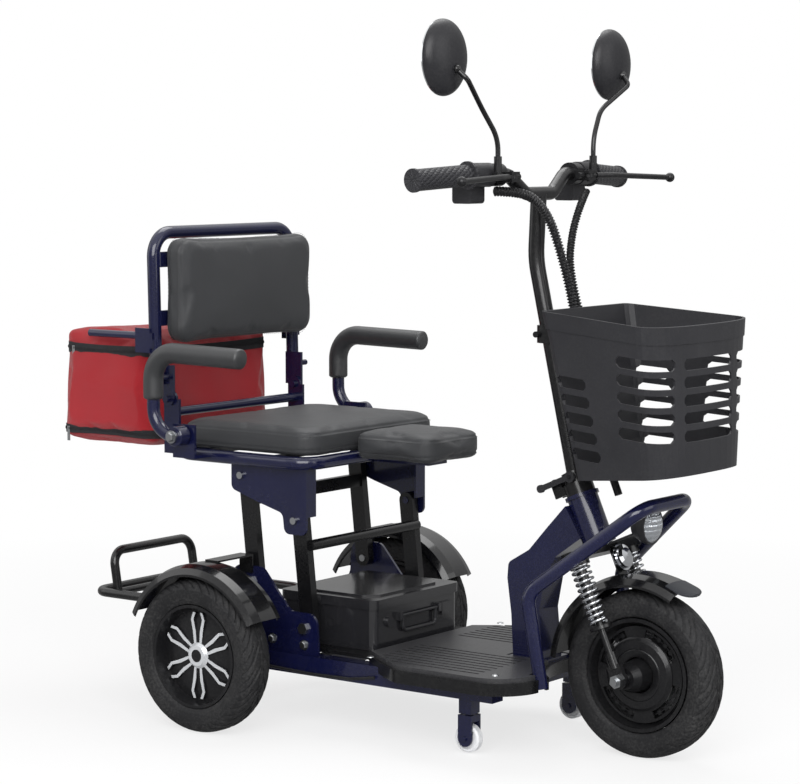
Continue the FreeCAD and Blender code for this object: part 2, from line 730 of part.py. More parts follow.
def anti_tip_posts():
    """Square posts under the deck, each with a fork for a small wheel."""
    cheek = S.tip_wheel_width / 2 + 1.2
    top = box(-12, 12, -12, 12, S.rail_low - 26, S.rail_low)
    bridge = box(-13, 13, -cheek - 4, cheek + 4, S.tip_axle_z + S.tip_wheel_r + 4, S.rail_low - 28)
    neck = rod(0, 0, S.rail_low - 29, "z", 6, 4)
    plates = []
    for low in (-cheek - 4, cheek):
        plates.append(box(-13, 13, low, low + 4, S.tip_axle_z, S.rail_low - 28))
        plates.append(rod(0, low, S.tip_axle_z, "y", 13, 4))
    axle = cross_rod(0, S.tip_axle_z, 4, cheek + 7)
    right = place(fuse(top, bridge, neck, *plates, axle), S.tip_x, -S.tip_y, 0)
    keep(both(right), "anti_tip_posts")


def caster_wheels():
    """Small white wheels that hang just clear of the ground."""
    for name, side in SIDES:
        item = body("caster_wheel_" + name)
        half = S.tip_wheel_width / 2
        section = sketch(item, "YZ_Plane")
        polygon(section, [(-half, 4 + S.bore_gap), (-half, 9), (-half + 2.5, 10),
                          (-half + 2.5, S.tip_wheel_r - 6), (-half, S.tip_wheel_r - 5),
                          (-half, S.tip_wheel_r - 2.5), (-half + 2.5, S.tip_wheel_r),
                          (half - 2.5, S.tip_wheel_r), (half, S.tip_wheel_r - 2.5),
                          (half, S.tip_wheel_r - 5), (half - 2.5, S.tip_wheel_r - 6),
                          (half - 2.5, 10), (half, 9), (half, 4 + S.bore_gap)])
        revolve(item, section)
        place(item, S.tip_x, side * S.tip_y, S.tip_axle_z)


def hex_bolt(x, y, z, axis, size, head, shank):
    """Hexagon bolt whose head starts at the point, with its shank towards the middle plane."""
    side = 1 if float(y) > 0 else -1
    nut = doc.addObject("Part::Prism", "Head")
    nut.Polygon = 6
    bind(nut, "Circumradius", size)
    bind(nut, "Height", head)
    place(nut, x, y, z, Vector(-side, 0, 0), 90)
    pin = rod(x, y - side * shank if side > 0 else y, z, axis, S.pivot_r, shank)
    return fuse(nut, pin)


def frame_bolts():
    """Pivot bolts of the four lower leg ends."""
    face = S.leg_y + S.leg_depth / 2 + S.plate_gap + S.plate
    shank = S.plate + S.plate_gap + S.leg_depth + 2
    bolts = []
    for x, z in ((S.front_pivot_x, S.front_pivot_z),
                 (S.front_pivot_x - S.link_dx, S.front_pivot_z + S.link_dz)):
        bolts.append(hex_bolt(x, -face, z, "y", 10, 6, shank))
    keep(both(group(*bolts)), "frame_bolts")


def frame_lead():
    """Motor lead clipped along the outside of the right rail."""
    y = -S.rail_y - S.rail_width / 2 - 3
    low = S.rail_low + 4
    points = [at(S.rear_axle_x + run, y, low + rise)
              for run, rise in ((20, 12), (58, 3), (148, 0), (228, 2), (278, 10))]
    keep(feature(tube(points, 60, 2.5)), "frame_lead")


# ------------------------------------------------------------------ rear wheels
def tyre(label, outer, bead, half):
    """Closed tyre ring with a crowned tread and rounded shoulders."""
    item = body(label)
    section = sketch(item, "YZ_Plane")
    polygon(section, [(-half * 0.78, bead), (half * 0.78, bead), (half * 0.98, bead + 12),
                      (half, bead + 22), (half * 0.86, outer - 8), (half * 0.56, outer - 2),
                      (half * 0.2, outer), (-half * 0.2, outer), (-half * 0.56, outer - 2),
                      (-half * 0.86, outer - 8), (-half, bead + 22), (-half * 0.98, bead + 12)])
    revolve(item, section)
    return item


def rear_wheels():
    """Rear tyre and hub motor wheel on each side, with paired curved ribs on the cover."""
    half = S.rim_width / 2
    for name, side in SIDES:
        ring = tyre("rear_tyre_" + name, S.rear_tyre_r, S.rear_bead_r, S.tyre_width / 2)
        place(ring, S.rear_axle_x, side * S.rear_track / 2, S.rear_tyre_r)
        item = body("rear_hub_" + name)
        bore = S.axle_r + S.bore_gap
        section = sketch(item, "YZ_Plane")
        polygon(section, [(-S.hub_back, bore), (-1, bore), (-1, 0), (S.hub_face, 0),
                          (S.hub_face, 17), (S.hub_face - 5, 22), (S.hub_face - 9, 60),
                          (S.hub_face - 11, S.rear_bead_r - 10), (half, S.rear_bead_r - 5),
                          (half, S.rear_bead_r), (-half, S.rear_bead_r),
                          (-half, S.rear_bead_r - 5), (-14, S.rear_bead_r - 9), (-20, 66),
                          (-S.hub_back + 8, 58), (-S.hub_back + 4, 20), (-S.hub_back, 16)])
        revolve(item, section)
        doc.recompute()
        rib = sketch(item, "XZ_Plane", -S.hub_face + 10)
        polygon(rib, [(-8, 20), (-3.5, 20), (-4.5, 40), (-9.5, 60), (-5, S.rear_bead_r - 14),
                      (-10, S.rear_bead_r - 14), (-14.5, 60), (-10.5, 40)])
        raised = pad(item, rib, 6, away=True)
        doc.recompute()
        around(item, raised, "Y_Axis", S.trim_count / 2)
        mirror_rib = sketch(item, "XZ_Plane", -S.hub_face + 10)
        polygon(mirror_rib, [(8, 20), (10.5, 40), (14.5, 60), (10, S.rear_bead_r - 14),
                             (5, S.rear_bead_r - 14), (9.5, 60), (4.5, 40), (3.5, 20)])
        raised = pad(item, mirror_rib, 6, away=True)
        doc.recompute()
        around(item, raised, "Y_Axis", S.trim_count / 2)
        turn = 180 if side < 0 else 0
        place(item, S.rear_axle_x, side * S.rear_track / 2, S.rear_tyre_r, Z_WAY, turn)


# ------------------------------------------------------------------ fork and front wheel
def fork_crown():
    """Steerer, crown plate, spring seats and guide tubes, welded together."""
    steerer = rod(0, 0, S.crown_low, "z", S.steerer_r, S.head_high + 22 - S.crown_low)
    race = rod(0, 0, S.crown_high, "z", 19, S.head_low - S.cup_height - S.crown_high + 1.2)
    plate_mid = box(-22, 22, -S.leg_half, S.leg_half, S.crown_low, S.crown_high)
    legs = []
    for side in (-1, 1):
        y = side * S.leg_half
        legs.append(rod(0, y, S.crown_low, "z", 22, S.crown_high - S.crown_low))
        seat = rod(0, y, S.crown_low - 10, "z", S.spring_r + 4, 10)
        guide = rod(0, y, S.guide_low, "z", S.guide_r, S.crown_low - S.guide_low)
        legs.extend([seat, guide])
    bores = []
    for side in (-1, 1):
        bores.append(rod(0, side * S.leg_half, S.guide_low - 1, "z", S.rod_r + S.bore_gap,
                         S.crown_low - S.guide_low - 1))
    keep(on_steering_axis(cut(fuse(steerer, race, plate_mid, *legs), *bores)), "fork_crown")


def fork_springs():
    """Chrome coil spring round each guide tube."""
    height = S.crown_low - 10 - S.spring_low - S.wire_r * 2 - S.face_gap * 2
    coil = Part.makeHelix(float(height) / float(S.spring_turns), float(height), float(S.spring_r))
    corners = [at(S.spring_r + S.wire_r * math.cos(turn), 0, S.wire_r * math.sin(turn))
               for turn in [math.radians(60 * step) for step in range(7)]]
    wire = Part.Wire(coil).makePipeShell([Part.makePolygon(corners)], True, True)
    springs = []
    for side in (-1, 1):
        turn = feature(wire)
        low = S.spring_low + S.wire_r + S.face_gap
        springs.append(place(turn, 0, side * S.leg_half, low))
    keep(on_steering_axis(group(*springs)), "fork_springs")


def fork_rods():
    """Sliding rod, spring collar and axle lug of each fork leg."""
    legs = []
    for side in (-1, 1):
        y = side * S.leg_half
        shaft = rod(0, y, 20, "z", S.rod_r, S.rod_top - 20)
        collar = rod(0, y, S.spring_low - 5, "z", S.spring_r + 4, 5)
        sleeve = rod(0, y, 20, "z", 9, 26)
        lug = box(-12, 12, y - 5, y + 5, 0, 26)
        eye = rod(0, y - 5, 0, "y", 14, 10)
        hole = rod(0, y - 6, 0, "y", S.front_pin_r, 12)
        legs.append(cut(fuse(shaft, collar, sleeve, lug, eye), hole))
    keep(on_steering_axis(group(*legs)), "fork_rods")


def front_axle():
    """Front spindle with spacers and an outer nut at each end."""
    spindle = cross_rod(0, 0, S.front_pin_r, S.leg_half + 20)
    parts = [spindle]
    for side in (-1, 1):
        nut = doc.addObject("Part::Prism", "Nut")
        nut.Circumradius = 11
        nut.Height = 9
        y = side * (S.leg_half + 5)
        place(nut, 0, y, 0, Vector(-side, 0, 0), 90)
        start = y + side * 9 if side < 0 else y + 9
        cap = rod(0, start - 3 if side < 0 else start, 0, "y", 7, 3)
        spacer_low = 61.5 if side > 0 else -S.leg_half + 5
        parts.extend([nut, cap, rod(0, spacer_low, 0, "y", 9, S.leg_half - 5 - 61.5)])
    keep(on_steering_axis(fuse(*parts)), "front_axle")


def brake_caliper():
    """Disc caliper on an arm from the left fork leg."""
    inner = box(-74, -40, 38, 48.5, 8, 52)
    outer = box(-74, -40, 55.5, 66, 8, 52)
    back = box(-84, -72, 38, 66, 8, 52)
    arm = box(-44, -11, 62, 69, 8, 26)
    lug = box(-14, 4, 62, S.leg_half - 5, 4, 19.5)
    hole = rod(0, 60, 0, "y", 10, 12)
    keep(on_steering_axis(cut(fuse(inner, outer, back, arm, lug), hole)), "brake_caliper")


def front_wheel():
    """Front tyre, cast rim with windows and perforated brake disc."""
    ring = tyre("front_tyre", S.front_tyre_r, S.front_bead_r, S.tyre_width / 2)
    place(ring, S.front_axle_x, 0, S.front_tyre_r)
    half = S.rim_width / 2
    item = body("front_rim")
    section = sketch(item, "YZ_Plane")
    bore = S.front_pin_r + S.bore_gap
    polygon(section, [(-61, bore), (61, bore), (61, 17), (54, 19.9), (50.5, 19.9), (50.5, 30),
                      (44, 30), (40, 24), (12, 27), (5, 36),
                      (5, S.front_bead_r - 14), (half, S.front_bead_r - 6),
                      (half, S.front_bead_r), (-half, S.front_bead_r),
                      (-half, S.front_bead_r - 6), (-5, S.front_bead_r - 14), (-5, 36),
                      (-12, 27), (-46, 24), (-61, 17)])
    revolve(item, section)
    doc.recompute()
    window = sketch(item, "XZ_Plane", 10)
    polygon(window, [(-9, 42), (9, 42), (20, S.front_bead_r - 22), (12, S.front_bead_r - 17),
                     (-12, S.front_bead_r - 17), (-20, S.front_bead_r - 22)])
    opening = pocket(item, window, 20, away=False)
    doc.recompute()
    around(item, opening, "Y_Axis", 6)
    place(item, S.front_axle_x, 0, S.front_tyre_r)
    disc = body("brake_disc")
    plate = sketch(disc, "XZ_Plane", -53.5)
    circle(plate, 0, 0, 70)
    circle(plate, 0, 0, 20)
    solid = pad(disc, plate, 3)
    doc.recompute()
    hole = sketch(disc, "XZ_Plane", -50)
    polygon(hole, [(-3, 60), (3, 60), (4, 52), (10, 36), (4, 36), (-3, 50)])
    drilled = pocket(disc, hole, 10, away=True)
    doc.recompute()
    around(disc, drilled, "Y_Axis", 12)
    place(disc, S.front_axle_x, 0, S.front_tyre_r)


def front_fender():
    """Front fender on a bracket from the crown, with a rubber flap at its tip."""
    inner = S.front_tyre_r + S.front_fender_gap
    item = body()
    section = sketch(item, "YZ_Plane")
    fender_profile(section, inner, S.front_fender_half, S.fender_wall)
    revolve(item, section, S.front_fender_span)
    lean = S.front_fender_lean - S.rake
    place(item, 0, 0, 0, BACK, lean)
    stalk = box(22, 25, -12, 12, inner - 6, S.crown_high - 2)
    keep(on_steering_axis(fuse(item, stalk)), "front_fender")


def headlamp():
    """Round lamp shell on a strip bracket in front of the crown, and its clear lens."""
    rim = S.lamp_r
    shell = body()
    section = sketch(shell, "XZ_Plane")
    polygon(section, [(-30, 0), (-30, 10), (-22, rim - 8), (-6, rim - 1), (6, rim), (6, rim - 3),
                      (3, rim - 3), (3, 0)])
    revolve(shell, section)
    place(shell, S.lamp_x, 0, S.lamp_z)
    strip = on_steering_axis(group(box(25, 80, -13, 13, S.crown_high - 5, S.crown_high - 2)))
    keep(fuse(shell, strip), "headlamp_shell")
    lens = body("headlamp_lens")
    section = sketch(lens, "XZ_Plane")
    polygon(section, [(3, 0), (3, rim - 3), (6, rim - 3), (10, rim - 8), (13, rim - 17), (14, 0)])
    revolve(lens, section)
    place(lens, S.lamp_x, 0, S.lamp_z)


def horn():
    """Small round horn in front of the fender bracket."""
    item = body()
    section = sketch(item, "XZ_Plane")
    r = S.horn_r
    polygon(section, [(25, 0), (25, r - 6), (30, r), (34, r), (34, r - 3), (40, r - 3), (43, r - 9),
                      (45, 0)])
    revolve(item, section)
    place(item, 0, 0, S.crown_low - 16)
    keep(on_steering_axis(group(item)), "horn")


def fold_parts():
    """Socket on top of the steerer with two ears for the folding pin."""
    low = S.head_high + S.cup_height - 1.2
    collar = rod(0, 0, low, "z", 24, S.fold_base - low)
    hole = rod(0, 0, low - 1, "z", S.steerer_r, S.head_high + 22 - low + 1)
    ears = []
    for side in (-1, 1):
        near = S.knuckle_half + S.face_gap
        y0, y1 = (near, near + 5) if side > 0 else (-near - 5, -near)
        ears.append(box(-S.fold_back - 8, -23, y0, y1, S.fold_base - 14, S.fold_base + S.fold_up))
        ears.append(box(-S.fold_back - 8, -16, y0, y1, S.fold_base - 14, S.fold_base))
        ears.append(rod(-S.fold_back, y0, S.fold_base + S.fold_up, "y", 8, 5))
    pin = cross_rod(-S.fold_back, S.fold_base + S.fold_up, 4, S.knuckle_half + 8)
    keep(on_steering_axis(fuse(cut(fuse(collar, *ears), hole), pin)), "fold_socket")


def steered(shape):
    """A code-made shape moved from the steering frame to machine coordinates."""
    moved = shape.copy()
    moved.Placement = Placement(at(S.front_axle_x, 0, S.front_tyre_r), Rotation(BACK, float(S.rake)))
    return moved


def cylinder(start, way, radius, length):
    """A plain cylinder from a point along a direction."""
    return Part.makeCylinder(float(radius), float(length), start, way)


def block(x0, x1, y0, y1, z0, z1):
    """A plain block between two corners."""
    return Part.makeBox(float(x1 - x0), float(y1 - y0), float(z1 - z0), at(x0, y0, z0))


def prism(corners, start, width):
    """An upright outline thickened along Y."""
    ring = [Vector(corner.x, float(start), corner.z) for corner in corners]
    return Part.Face(Part.makePolygon(ring + ring[:1])).extrude(Y_WAY * float(width))


def bar_points(side):
    """Corner points of one half of the handlebar, from the middle outwards."""
    return [at(S.column_top_x, side * S.bar_flat_half, S.bar_middle_z),
            at(S.bar_high_x, side * S.bar_rise_half, S.bar_high_z),
            at(S.bar_bend_x, side * S.bar_bend_half, S.bar_high_z),
            at(S.bar_end_x, side * S.bar_end_half, S.bar_end_z)]


def bar_place(side, half):
    """The point of the bar's centre line at a distance from the middle, and its direction."""
    points = bar_points(side)
    first, last = points[1:3] if float(half) < float(S.bar_bend_half) else points[2:4]
    share = (float(half) - abs(first.y)) / (abs(last.y) - abs(first.y))
    way = (last - first)
    return first + way * share, way.normalize()


def bar_ring(side, low, high, radius, bore):
    """A sleeve on the bar between two distances from the middle."""
    start, way = bar_place(side, low)
    length = abs(float(high) - float(low)) / abs(way.y)
    ring = cylinder(start, way, radius, length)
    return ring.cut(cylinder(start - way, way, bore, length + 2))


def steering_column():
    """Column with its folding base, upper bend, handlebar and basket arm in one weldment."""
    base = float(S.fold_base) + float(S.face_gap)
    boss = steered(cylinder(Vector(0, 0, base), Z_WAY, 21, 18))
    level = float(S.fold_base) + float(S.fold_up)
    half = float(S.knuckle_half)
    knuckle = cylinder(Vector(-float(S.fold_back), -half, level), Y_WAY, 8, half * 2)
    web = block(-float(S.fold_back), -12, -half, half, level - 6, level + 7)
    hole = cylinder(Vector(-float(S.fold_back), -half - 1, level), Y_WAY, 4 + float(S.bore_gap),
                    half * 2 + 2)
    hinge = steered(knuckle.fuse(web).cut(hole))
    stud = steered(cylinder(Vector(8, -33, level), Y_WAY, 3, 20))
    bend = at(S.column_bend_x, 0, S.column_bend_z)
    top = at(S.column_top_x, 0, S.bar_middle_z)
    foot = steering_point(0, 0, S.fold_base + 12)
    column = tube([foot, bend, top], 160, S.column_r)
    right = bar_points(-1)
    left = bar_points(1)
    bar = tube(list(reversed(right)) + left, [40, 30, 26, 26, 30, 40], S.bar_r)
    arm_z = float(S.arm_z)
    share = (arm_z - foot.z) / (bend.z - foot.z)
    arm_x = foot.x + (bend.x - foot.x) * share
    up = arm_z - float(S.basket_floor_z) - 9
    clamp = cylinder(at(arm_x, 0, arm_z - 14), Z_WAY, 20, 28)
    gap = float(S.face_gap)
    arms = [prism([at(arm_x, y, arm_z - 12), basket_back(up - 12, 2), basket_back(up + 12, 2),
                   at(arm_x, y, arm_z + 12)], y, 4) for y in (-20, 16)]
    plate = prism([basket_back(up - 30, gap), basket_back(up + 14, gap),
                   basket_back(up + 14, gap + 4), basket_back(up - 30, gap + 4)], -34, 68)
    bolt = cylinder(at(arm_x - 10, -26, arm_z), Y_WAY, 5, 52)
    whole = column.fuse([boss, hinge, stud, bar, clamp, plate, bolt] + arms)
    keep(feature(whole.removeSplitter()), "steering_column")


def fold_lever():
    """Quick-release lever on the near side of the folding base."""
    level = float(S.fold_base) + float(S.fold_up)
    hub = cylinder(Vector(8, -31, level), Y_WAY, 9, 6)
    blade = block(-52, 8, -31, -25, level - 4, level + 5)
    tip = cylinder(Vector(-52, -31, level + 0.5), Y_WAY, 6.5, 6)
    hole = cylinder(Vector(8, -34, level), Y_WAY, 3 + float(S.bore_gap), 12)
    keep(feature(steered(hub.fuse([blade, tip]).cut(hole).removeSplitter())), "fold_lever")


def grips():
    """Twist grip on the right and fixed grip on the left, each closed at its end."""
    for name, side in (("throttle_grip", -1), ("left_grip", 1)):
        low = S.grip_inner_half
        high = S.bar_end_half + 5
        bore = S.bar_r + S.bore_gap
        start, way = bar_place(side, low)
        end, way = bar_place(side, S.bar_end_half)
        deep = (end - start).Length + 0.6
        length = abs(float(high) - float(low)) / abs(way.y)
        outer = cylinder(start, way, S.grip_r, length)
        flange = cylinder(start, way, S.grip_r + 5, 4)
        rim = cylinder(start + way * (length - 5), way, S.grip_r + 1.5, 5)
        hollow = cylinder(start - way, way, bore, deep + 1)
        whole = outer.fuse([flange, rim]).cut(hollow).removeSplitter()
        keep(feature(whole), name)


def lever_perches():
    """Clamps on the bar that hold the brake levers and the mirror stems."""
    parts = []
    pivot_x = float(S.lever_pivot_x)
    pivot_y = float(S.lever_pivot_half)
    level = float(S.bar_high_z) - 3
    for side in (-1, 1):
        ring = bar_ring(side, pivot_y - 12, pivot_y + 10, 18, S.bar_r + S.bore_gap)
        y0, y1 = sorted((side * (pivot_y - 12), side * (pivot_y + 10)))
        head = block(pivot_x - 28, pivot_x + 8, y0, y1, level - 8, level + 8)
        slot = block(pivot_x - 11, pivot_x + 20, y0 - 1, y1 + 1, level - 3.4, level + 3.4)
        core, way = bar_place(side, pivot_y - 30)
        bar_hole = cylinder(core, way, S.bar_r + S.bore_gap, 60)
        pin = cylinder(Vector(pivot_x, side * pivot_y, level - 10), Z_WAY, 3, 20)
        m0, m1 = sorted((side * (pivot_y + 6), side * (float(S.mirror_stem_half) + 8)))
        ear = block(pivot_x - 12, pivot_x - 4.5, m0, m1, level - 6, level + 8)
        socket = cylinder(Vector(pivot_x - float(S.stem_back), side * float(S.mirror_stem_half),
                                 level - 4), Z_WAY, 6.5, 24)
        clear = block(pivot_x - 4.4, pivot_x + 20, m0 - 1, m1 + 1, level - 3.4, level + 3.4)
        barrel = cylinder(Vector(pivot_x - 4, y0 - 14 if side > 0 else y1 + 14, level), Y_WAY * side,
                          5, 16)
        solid = ring.fuse([head, ear, socket]).cut(slot.fuse([bar_hole, clear]))
        parts.append(solid.fuse([pin, barrel]).removeSplitter())
    keep(feature(Part.makeCompound(parts)), "lever_perches")


def brake_levers():
    """Ball-ended brake levers."""
    level = float(S.bar_high_z) - 3
    for name, side in SIDES:
        pivot = at(S.lever_pivot_x, side * S.lever_pivot_half, level)
        eye = cylinder(pivot - Z_WAY * 3, Z_WAY, 9, 6)
        tip = at(S.lever_tip_x, side * S.lever_tip_half, level - 5)
        bend = pivot + Vector(17, side * 52, 0)
        start = pivot + (bend - pivot) * 0.3
        blade = tube([start, bend, tip], 90, 4.6)
        link = tube([pivot + (bend - pivot) * 0.08, pivot + (bend - pivot) * 0.45 + Vector(0, 0, 0.01),
                     pivot + (bend - pivot) * 0.6], 200, 2.9)
        ball = Part.makeSphere(8, tip)
        hole = cylinder(pivot - Z_WAY * 12, Z_WAY, 3 + float(S.bore_gap), 24)
        keep(feature(eye.fuse([blade, link, ball]).cut(hole).removeSplitter()), "brake_lever_" + name)


def control_housings():
    """Throttle housing with its display pod, and the left switch housing."""
    low = S.mirror_stem_half - 12
    for name, side in (("throttle_housing", -1), ("switch_housing", 1)):
        high = S.grip_inner_half - 2
        shell = bar_ring(side, low, high, 19, S.bar_r + S.loose_gap)
        y0, y1 = sorted((side * float(low + 2), side * float(high - 6)))
        back = float(S.bar_bend_x) - 38
        pod = block(back, back + 37, y0, y1, 876, 909)
        pod = pod.makeFillet(6, [edge for edge in pod.Edges if runs_along(edge, Y_WAY)])
        core, way = bar_place(side, low - 10)
        bar_hole = cylinder(core, way, S.bar_r + S.loose_gap, 80)
        whole = shell.fuse(pod.cut(bar_hole)).removeSplitter()
        if side > 0:
            wells = [cylinder(at(back - 5, 154, 892), X_WAY, 6 + float(S.loose_gap), 12),
                     block(back - 5, back + 7, 131.7, 140.3, 884.7, 899.3)]
            whole = whole.cut(wells[0]).cut(wells[1])
        keep(feature(whole), name)


def switches():
    """Horn button and lamp switch in the left housing."""
    back = S.bar_bend_x - 38
    button = cylinder(at(back - 3, 154, 892), X_WAY, 6, 8)
    keep(feature(button), "horn_button")
    rocker = block(back - 2.5, back + 4.5, 132, 140, 885, 899)
    keep(feature(rocker), "light_switch")


def mirrors():
    """Bent mirror stems and the oval mirror heads with their glass."""
    stems = []
    level = float(S.bar_high_z) + 17
    for name, side in SIDES:
        x = float(S.lever_pivot_x - S.stem_back)
        y = side * float(S.mirror_stem_half)
        head = at(S.mirror_x, side * S.mirror_half, S.mirror_z)
        ball = head + Vector(float(S.mirror_depth), 0, -18)
        route = [Vector(x, y, level), Vector(x, y, level + 40),
                 Vector(x - 8, y + side * 34, level + 87), ball + Vector(16, -side * 6, -16), ball]
        rod_up = tube(route, [60, 60, 12], 4)
        nut = cylinder(Vector(x, y, level), Z_WAY, 6.2, 12)
        knob = Part.makeSphere(6.5, ball)
        stems.append(rod_up.fuse([nut, knob]).removeSplitter())
        dome = Part.makeSphere(1, Vector(0, 0, 0))
        stretch = FreeCAD.Matrix()
        stretch.scale(float(S.mirror_depth), float(S.mirror_width) / 2, float(S.mirror_height) / 2)
        dome = dome.transformGeometry(stretch)
        shell = dome.cut(block(-60, -1, -90, 90, -90, 90))
        pane = dome.common(block(-3.5, -1, -90, 90, -90, 90))
        boss = cylinder(Vector(float(S.mirror_depth) - 14, 0, -18), X_WAY, 8.2, 13)
        socket = Part.makeSphere(6.5 + float(S.face_gap), Vector(float(S.mirror_depth), 0, -18))
        whole = Part.makeCompound([shell.fuse(boss).cut(socket).removeSplitter(), pane])
        whole.Placement = Placement(head, Rotation())
        keep(feature(whole), "mirror_" + name)
    keep(feature(Part.makeCompound(stems)), "mirror_stems")


def basket_outline(share, out):
    """Plan of the basket at a share of its height, moved outwards by a distance."""
    def between(base, rim):
        return base + (rim - base) * share
    rear = between(S.base_rear, S.rim_rear) - out
    rear_half = between(S.base_rear_half, S.rim_rear_half) + out
    corner = between(S.base_corner, S.rim_corner) + out * 0.3
    front_half = between(S.base_front_half, S.rim_front_half) + out
    front = between(S.base_front, S.rim_front) + out
    half = [(rear, rear_half - 12), (rear + 3.5, rear_half - 3.5), (rear + 12, rear_half)]
    for turn in range(0, 90, 9):
        ahead, aside = (way(math.radians(turn)) ** 0.77 for way in (math.sin, math.cos))
        half.append((corner + (front - corner) * ahead, front_half * aside))
    return [(x, -y) for x, y in half] + [(front, 0)] + list(reversed(half))


def loft(item, kind, low, high, first, last):
    """A straight-sided loft between two level outlines."""
    foot = sketch(item, "XY_Plane", low)
    polygon(foot, first)
    head = sketch(item, "XY_Plane", high)
    polygon(head, last)
    solid = item.newObject("PartDesign::" + kind, "Loft")
    solid.Profile = foot
    solid.Sections = [head]
    solid.Ruled = True
    doc.recompute()


def slot_outline(drawing, low, high, level):
    """A slot with tapered ends."""
    half = S.slot_height / 2
    polygon(drawing, [(low, level - half * 0.4), (low + 6, level - half), (high - 6, level - half),
                      (high, level - half * 0.4), (high, level + half * 0.4), (high - 6, level + half),
                      (low + 6, level + half), (low, level + half * 0.4)])


def basket():
    """Tapered moulded basket with a rim band, a rising floor and slots that turn its corners."""
    item = body()
    height = S.basket_height
    wall = S.basket_wall
    loft(item, "AdditiveLoft", 0, height, basket_outline(0, 0), basket_outline(1, 0))
    seam = 1 - S.basket_band / height
    loft(item, "AdditiveLoft", height - S.basket_band, height,
         basket_outline(seam, S.basket_band_out), basket_outline(1, S.basket_band_out))
    side = sketch(item, "XZ_Plane", 0)
    for row in range(int(SIZES["slot_rows"])):
        level = S.side_slot_low + S.slot_pitch * row
        start = S.base_rear + (S.rim_rear - S.base_rear) * (level / height) + 4
        slot_outline(side, start, start + S.side_slot_length, level)
        level = S.slot_low + S.slot_pitch * row
        corner = S.base_corner + (S.rim_corner - S.base_corner) * (level / height)
        slot_outline(side, corner - 42, corner + 12, level)
    pocket(item, side, 400, middle=True)
    for row in range(int(SIZES["slot_rows"])):
        level = S.slot_low + S.slot_pitch * row
        corner = S.base_corner + (S.rim_corner - S.base_corner) * (level / height)
        front = sketch(item, "YZ_Plane", corner - 1)
        for low, high in ((-160, -94), (-72, 72), (94, 160)):
            slot_outline(front, low, high, level)
        pocket(item, front, 90, away=True)
    doc.recompute()
    room = body()
    loft(room, "AdditiveLoft", 0, height + 0.5, basket_outline(0, -wall),
         basket_outline(1 + 0.5 / height, -wall))
    below = [place(group(box(-20, 250, -200, 200, -80, up)), S.base_rear, 0, 0, Y_WAY, -S.floor_slope)
             for up in (0, wall)]
    shell = cut(item, below[0], cut(room, below[1]))
    keep(place(shell, S.basket_x, 0, S.basket_floor_z, Y_WAY, S.basket_pitch), "basket")


def basket_back(up, out):
    """A point on the line of the basket's rear wall, at a height in it and moved rearwards."""
    share = up / float(S.basket_height)
    local = Vector(float(S.base_rear + (S.rim_rear - S.base_rear) * share) - out, 0, up)
    spot = Rotation(Y_WAY, float(S.basket_pitch)).multVec(local)
    return spot + at(S.basket_x, 0, S.basket_floor_z)


def wiring_loom():
    """Wrapped looms from both control groups that join and run down behind the basket."""
    right = [at(281, -118, 895.2), at(303, -74, 894), at(314, -44, 878), at(321, -20, 848),
             at(327, -9, 817), at(340, 1, 761), at(352, 5, 702), at(359, 8, 640),
             at(365, 22, 580), at(375, 28, 525), at(391, 30, 478), at(411, 30, 438), at(423, 29, 410)]
    left = [at(297, 124, 892), at(304, 98, 874), at(307, 72, 837), at(314, 52, 807),
            at(323, 35, 778), at(345, 18.4, 727), at(356, 18.9, 695)]
    keep(feature(Part.makeCompound([tube(right, bends_for(right), 7.5),
                                    tube(left, bends_for(left), 6)])), "wiring_loom")


def bends_for(points):
    """The largest arc that each corner's two runs leave room for."""
    bends = []
    for before, corner, after in zip(points, points[1:], points[2:]):
        run = min((before - corner).Length, (after - corner).Length)
        turn = math.pi - (before - corner).getAngle(after - corner)
        bends.append(0.45 * run / math.tan(turn / 2))
    print("loom radii", [round(bend) for bend in bends])
    return bends


# ------------------------------------------------------------------ seat
def leg_bars(bore_top):
    """A pair of flat legs with rounded ends, standing on their lower pivots."""
    half = S.leg_depth / 2
    wide = S.leg_width / 2
    bar = box(-wide, wide, -half, half, 0, S.leg_length)
    ends = [rod(0, -half, z, "y", wide, S.leg_depth) for z in (0, S.leg_length)]
    holes = [rod(0, -half - 1, 0, "y", S.pivot_r + S.bore_gap, S.leg_depth + 2),
             rod(0, -half - 1, S.leg_length, "y", bore_top, S.leg_depth + 2)]
    leg = place(cut(fuse(bar, *ends), *holes), 0, -S.leg_y, 0)
    return [leg, mirror(leg)]


def front_legs():
    """Front legs of the seat linkage with the round bar between them."""
    bar = cross_rod(14, S.foot_bar_up, S.foot_bar_r, S.leg_y)
    item = fuse(*leg_bars(S.pivot_r + S.bore_gap), bar)
    keep(place(item, S.front_pivot_x, 0, S.front_pivot_z, BACK, S.leg_lean), "front_legs")


def rear_legs():
    """Rear legs of the seat linkage with their square cross member."""
    inner = S.leg_y - S.leg_depth / 2
    cross = box(-11, 11, -inner, inner, S.leg_length - 52, S.leg_length - 30)
    item = fuse(*leg_bars(S.pivot_r + S.loose_gap), cross)
    keep(place(item, S.front_pivot_x - S.link_dx, 0, S.front_pivot_z + S.link_dz, BACK, S.leg_lean),
         "rear_legs")


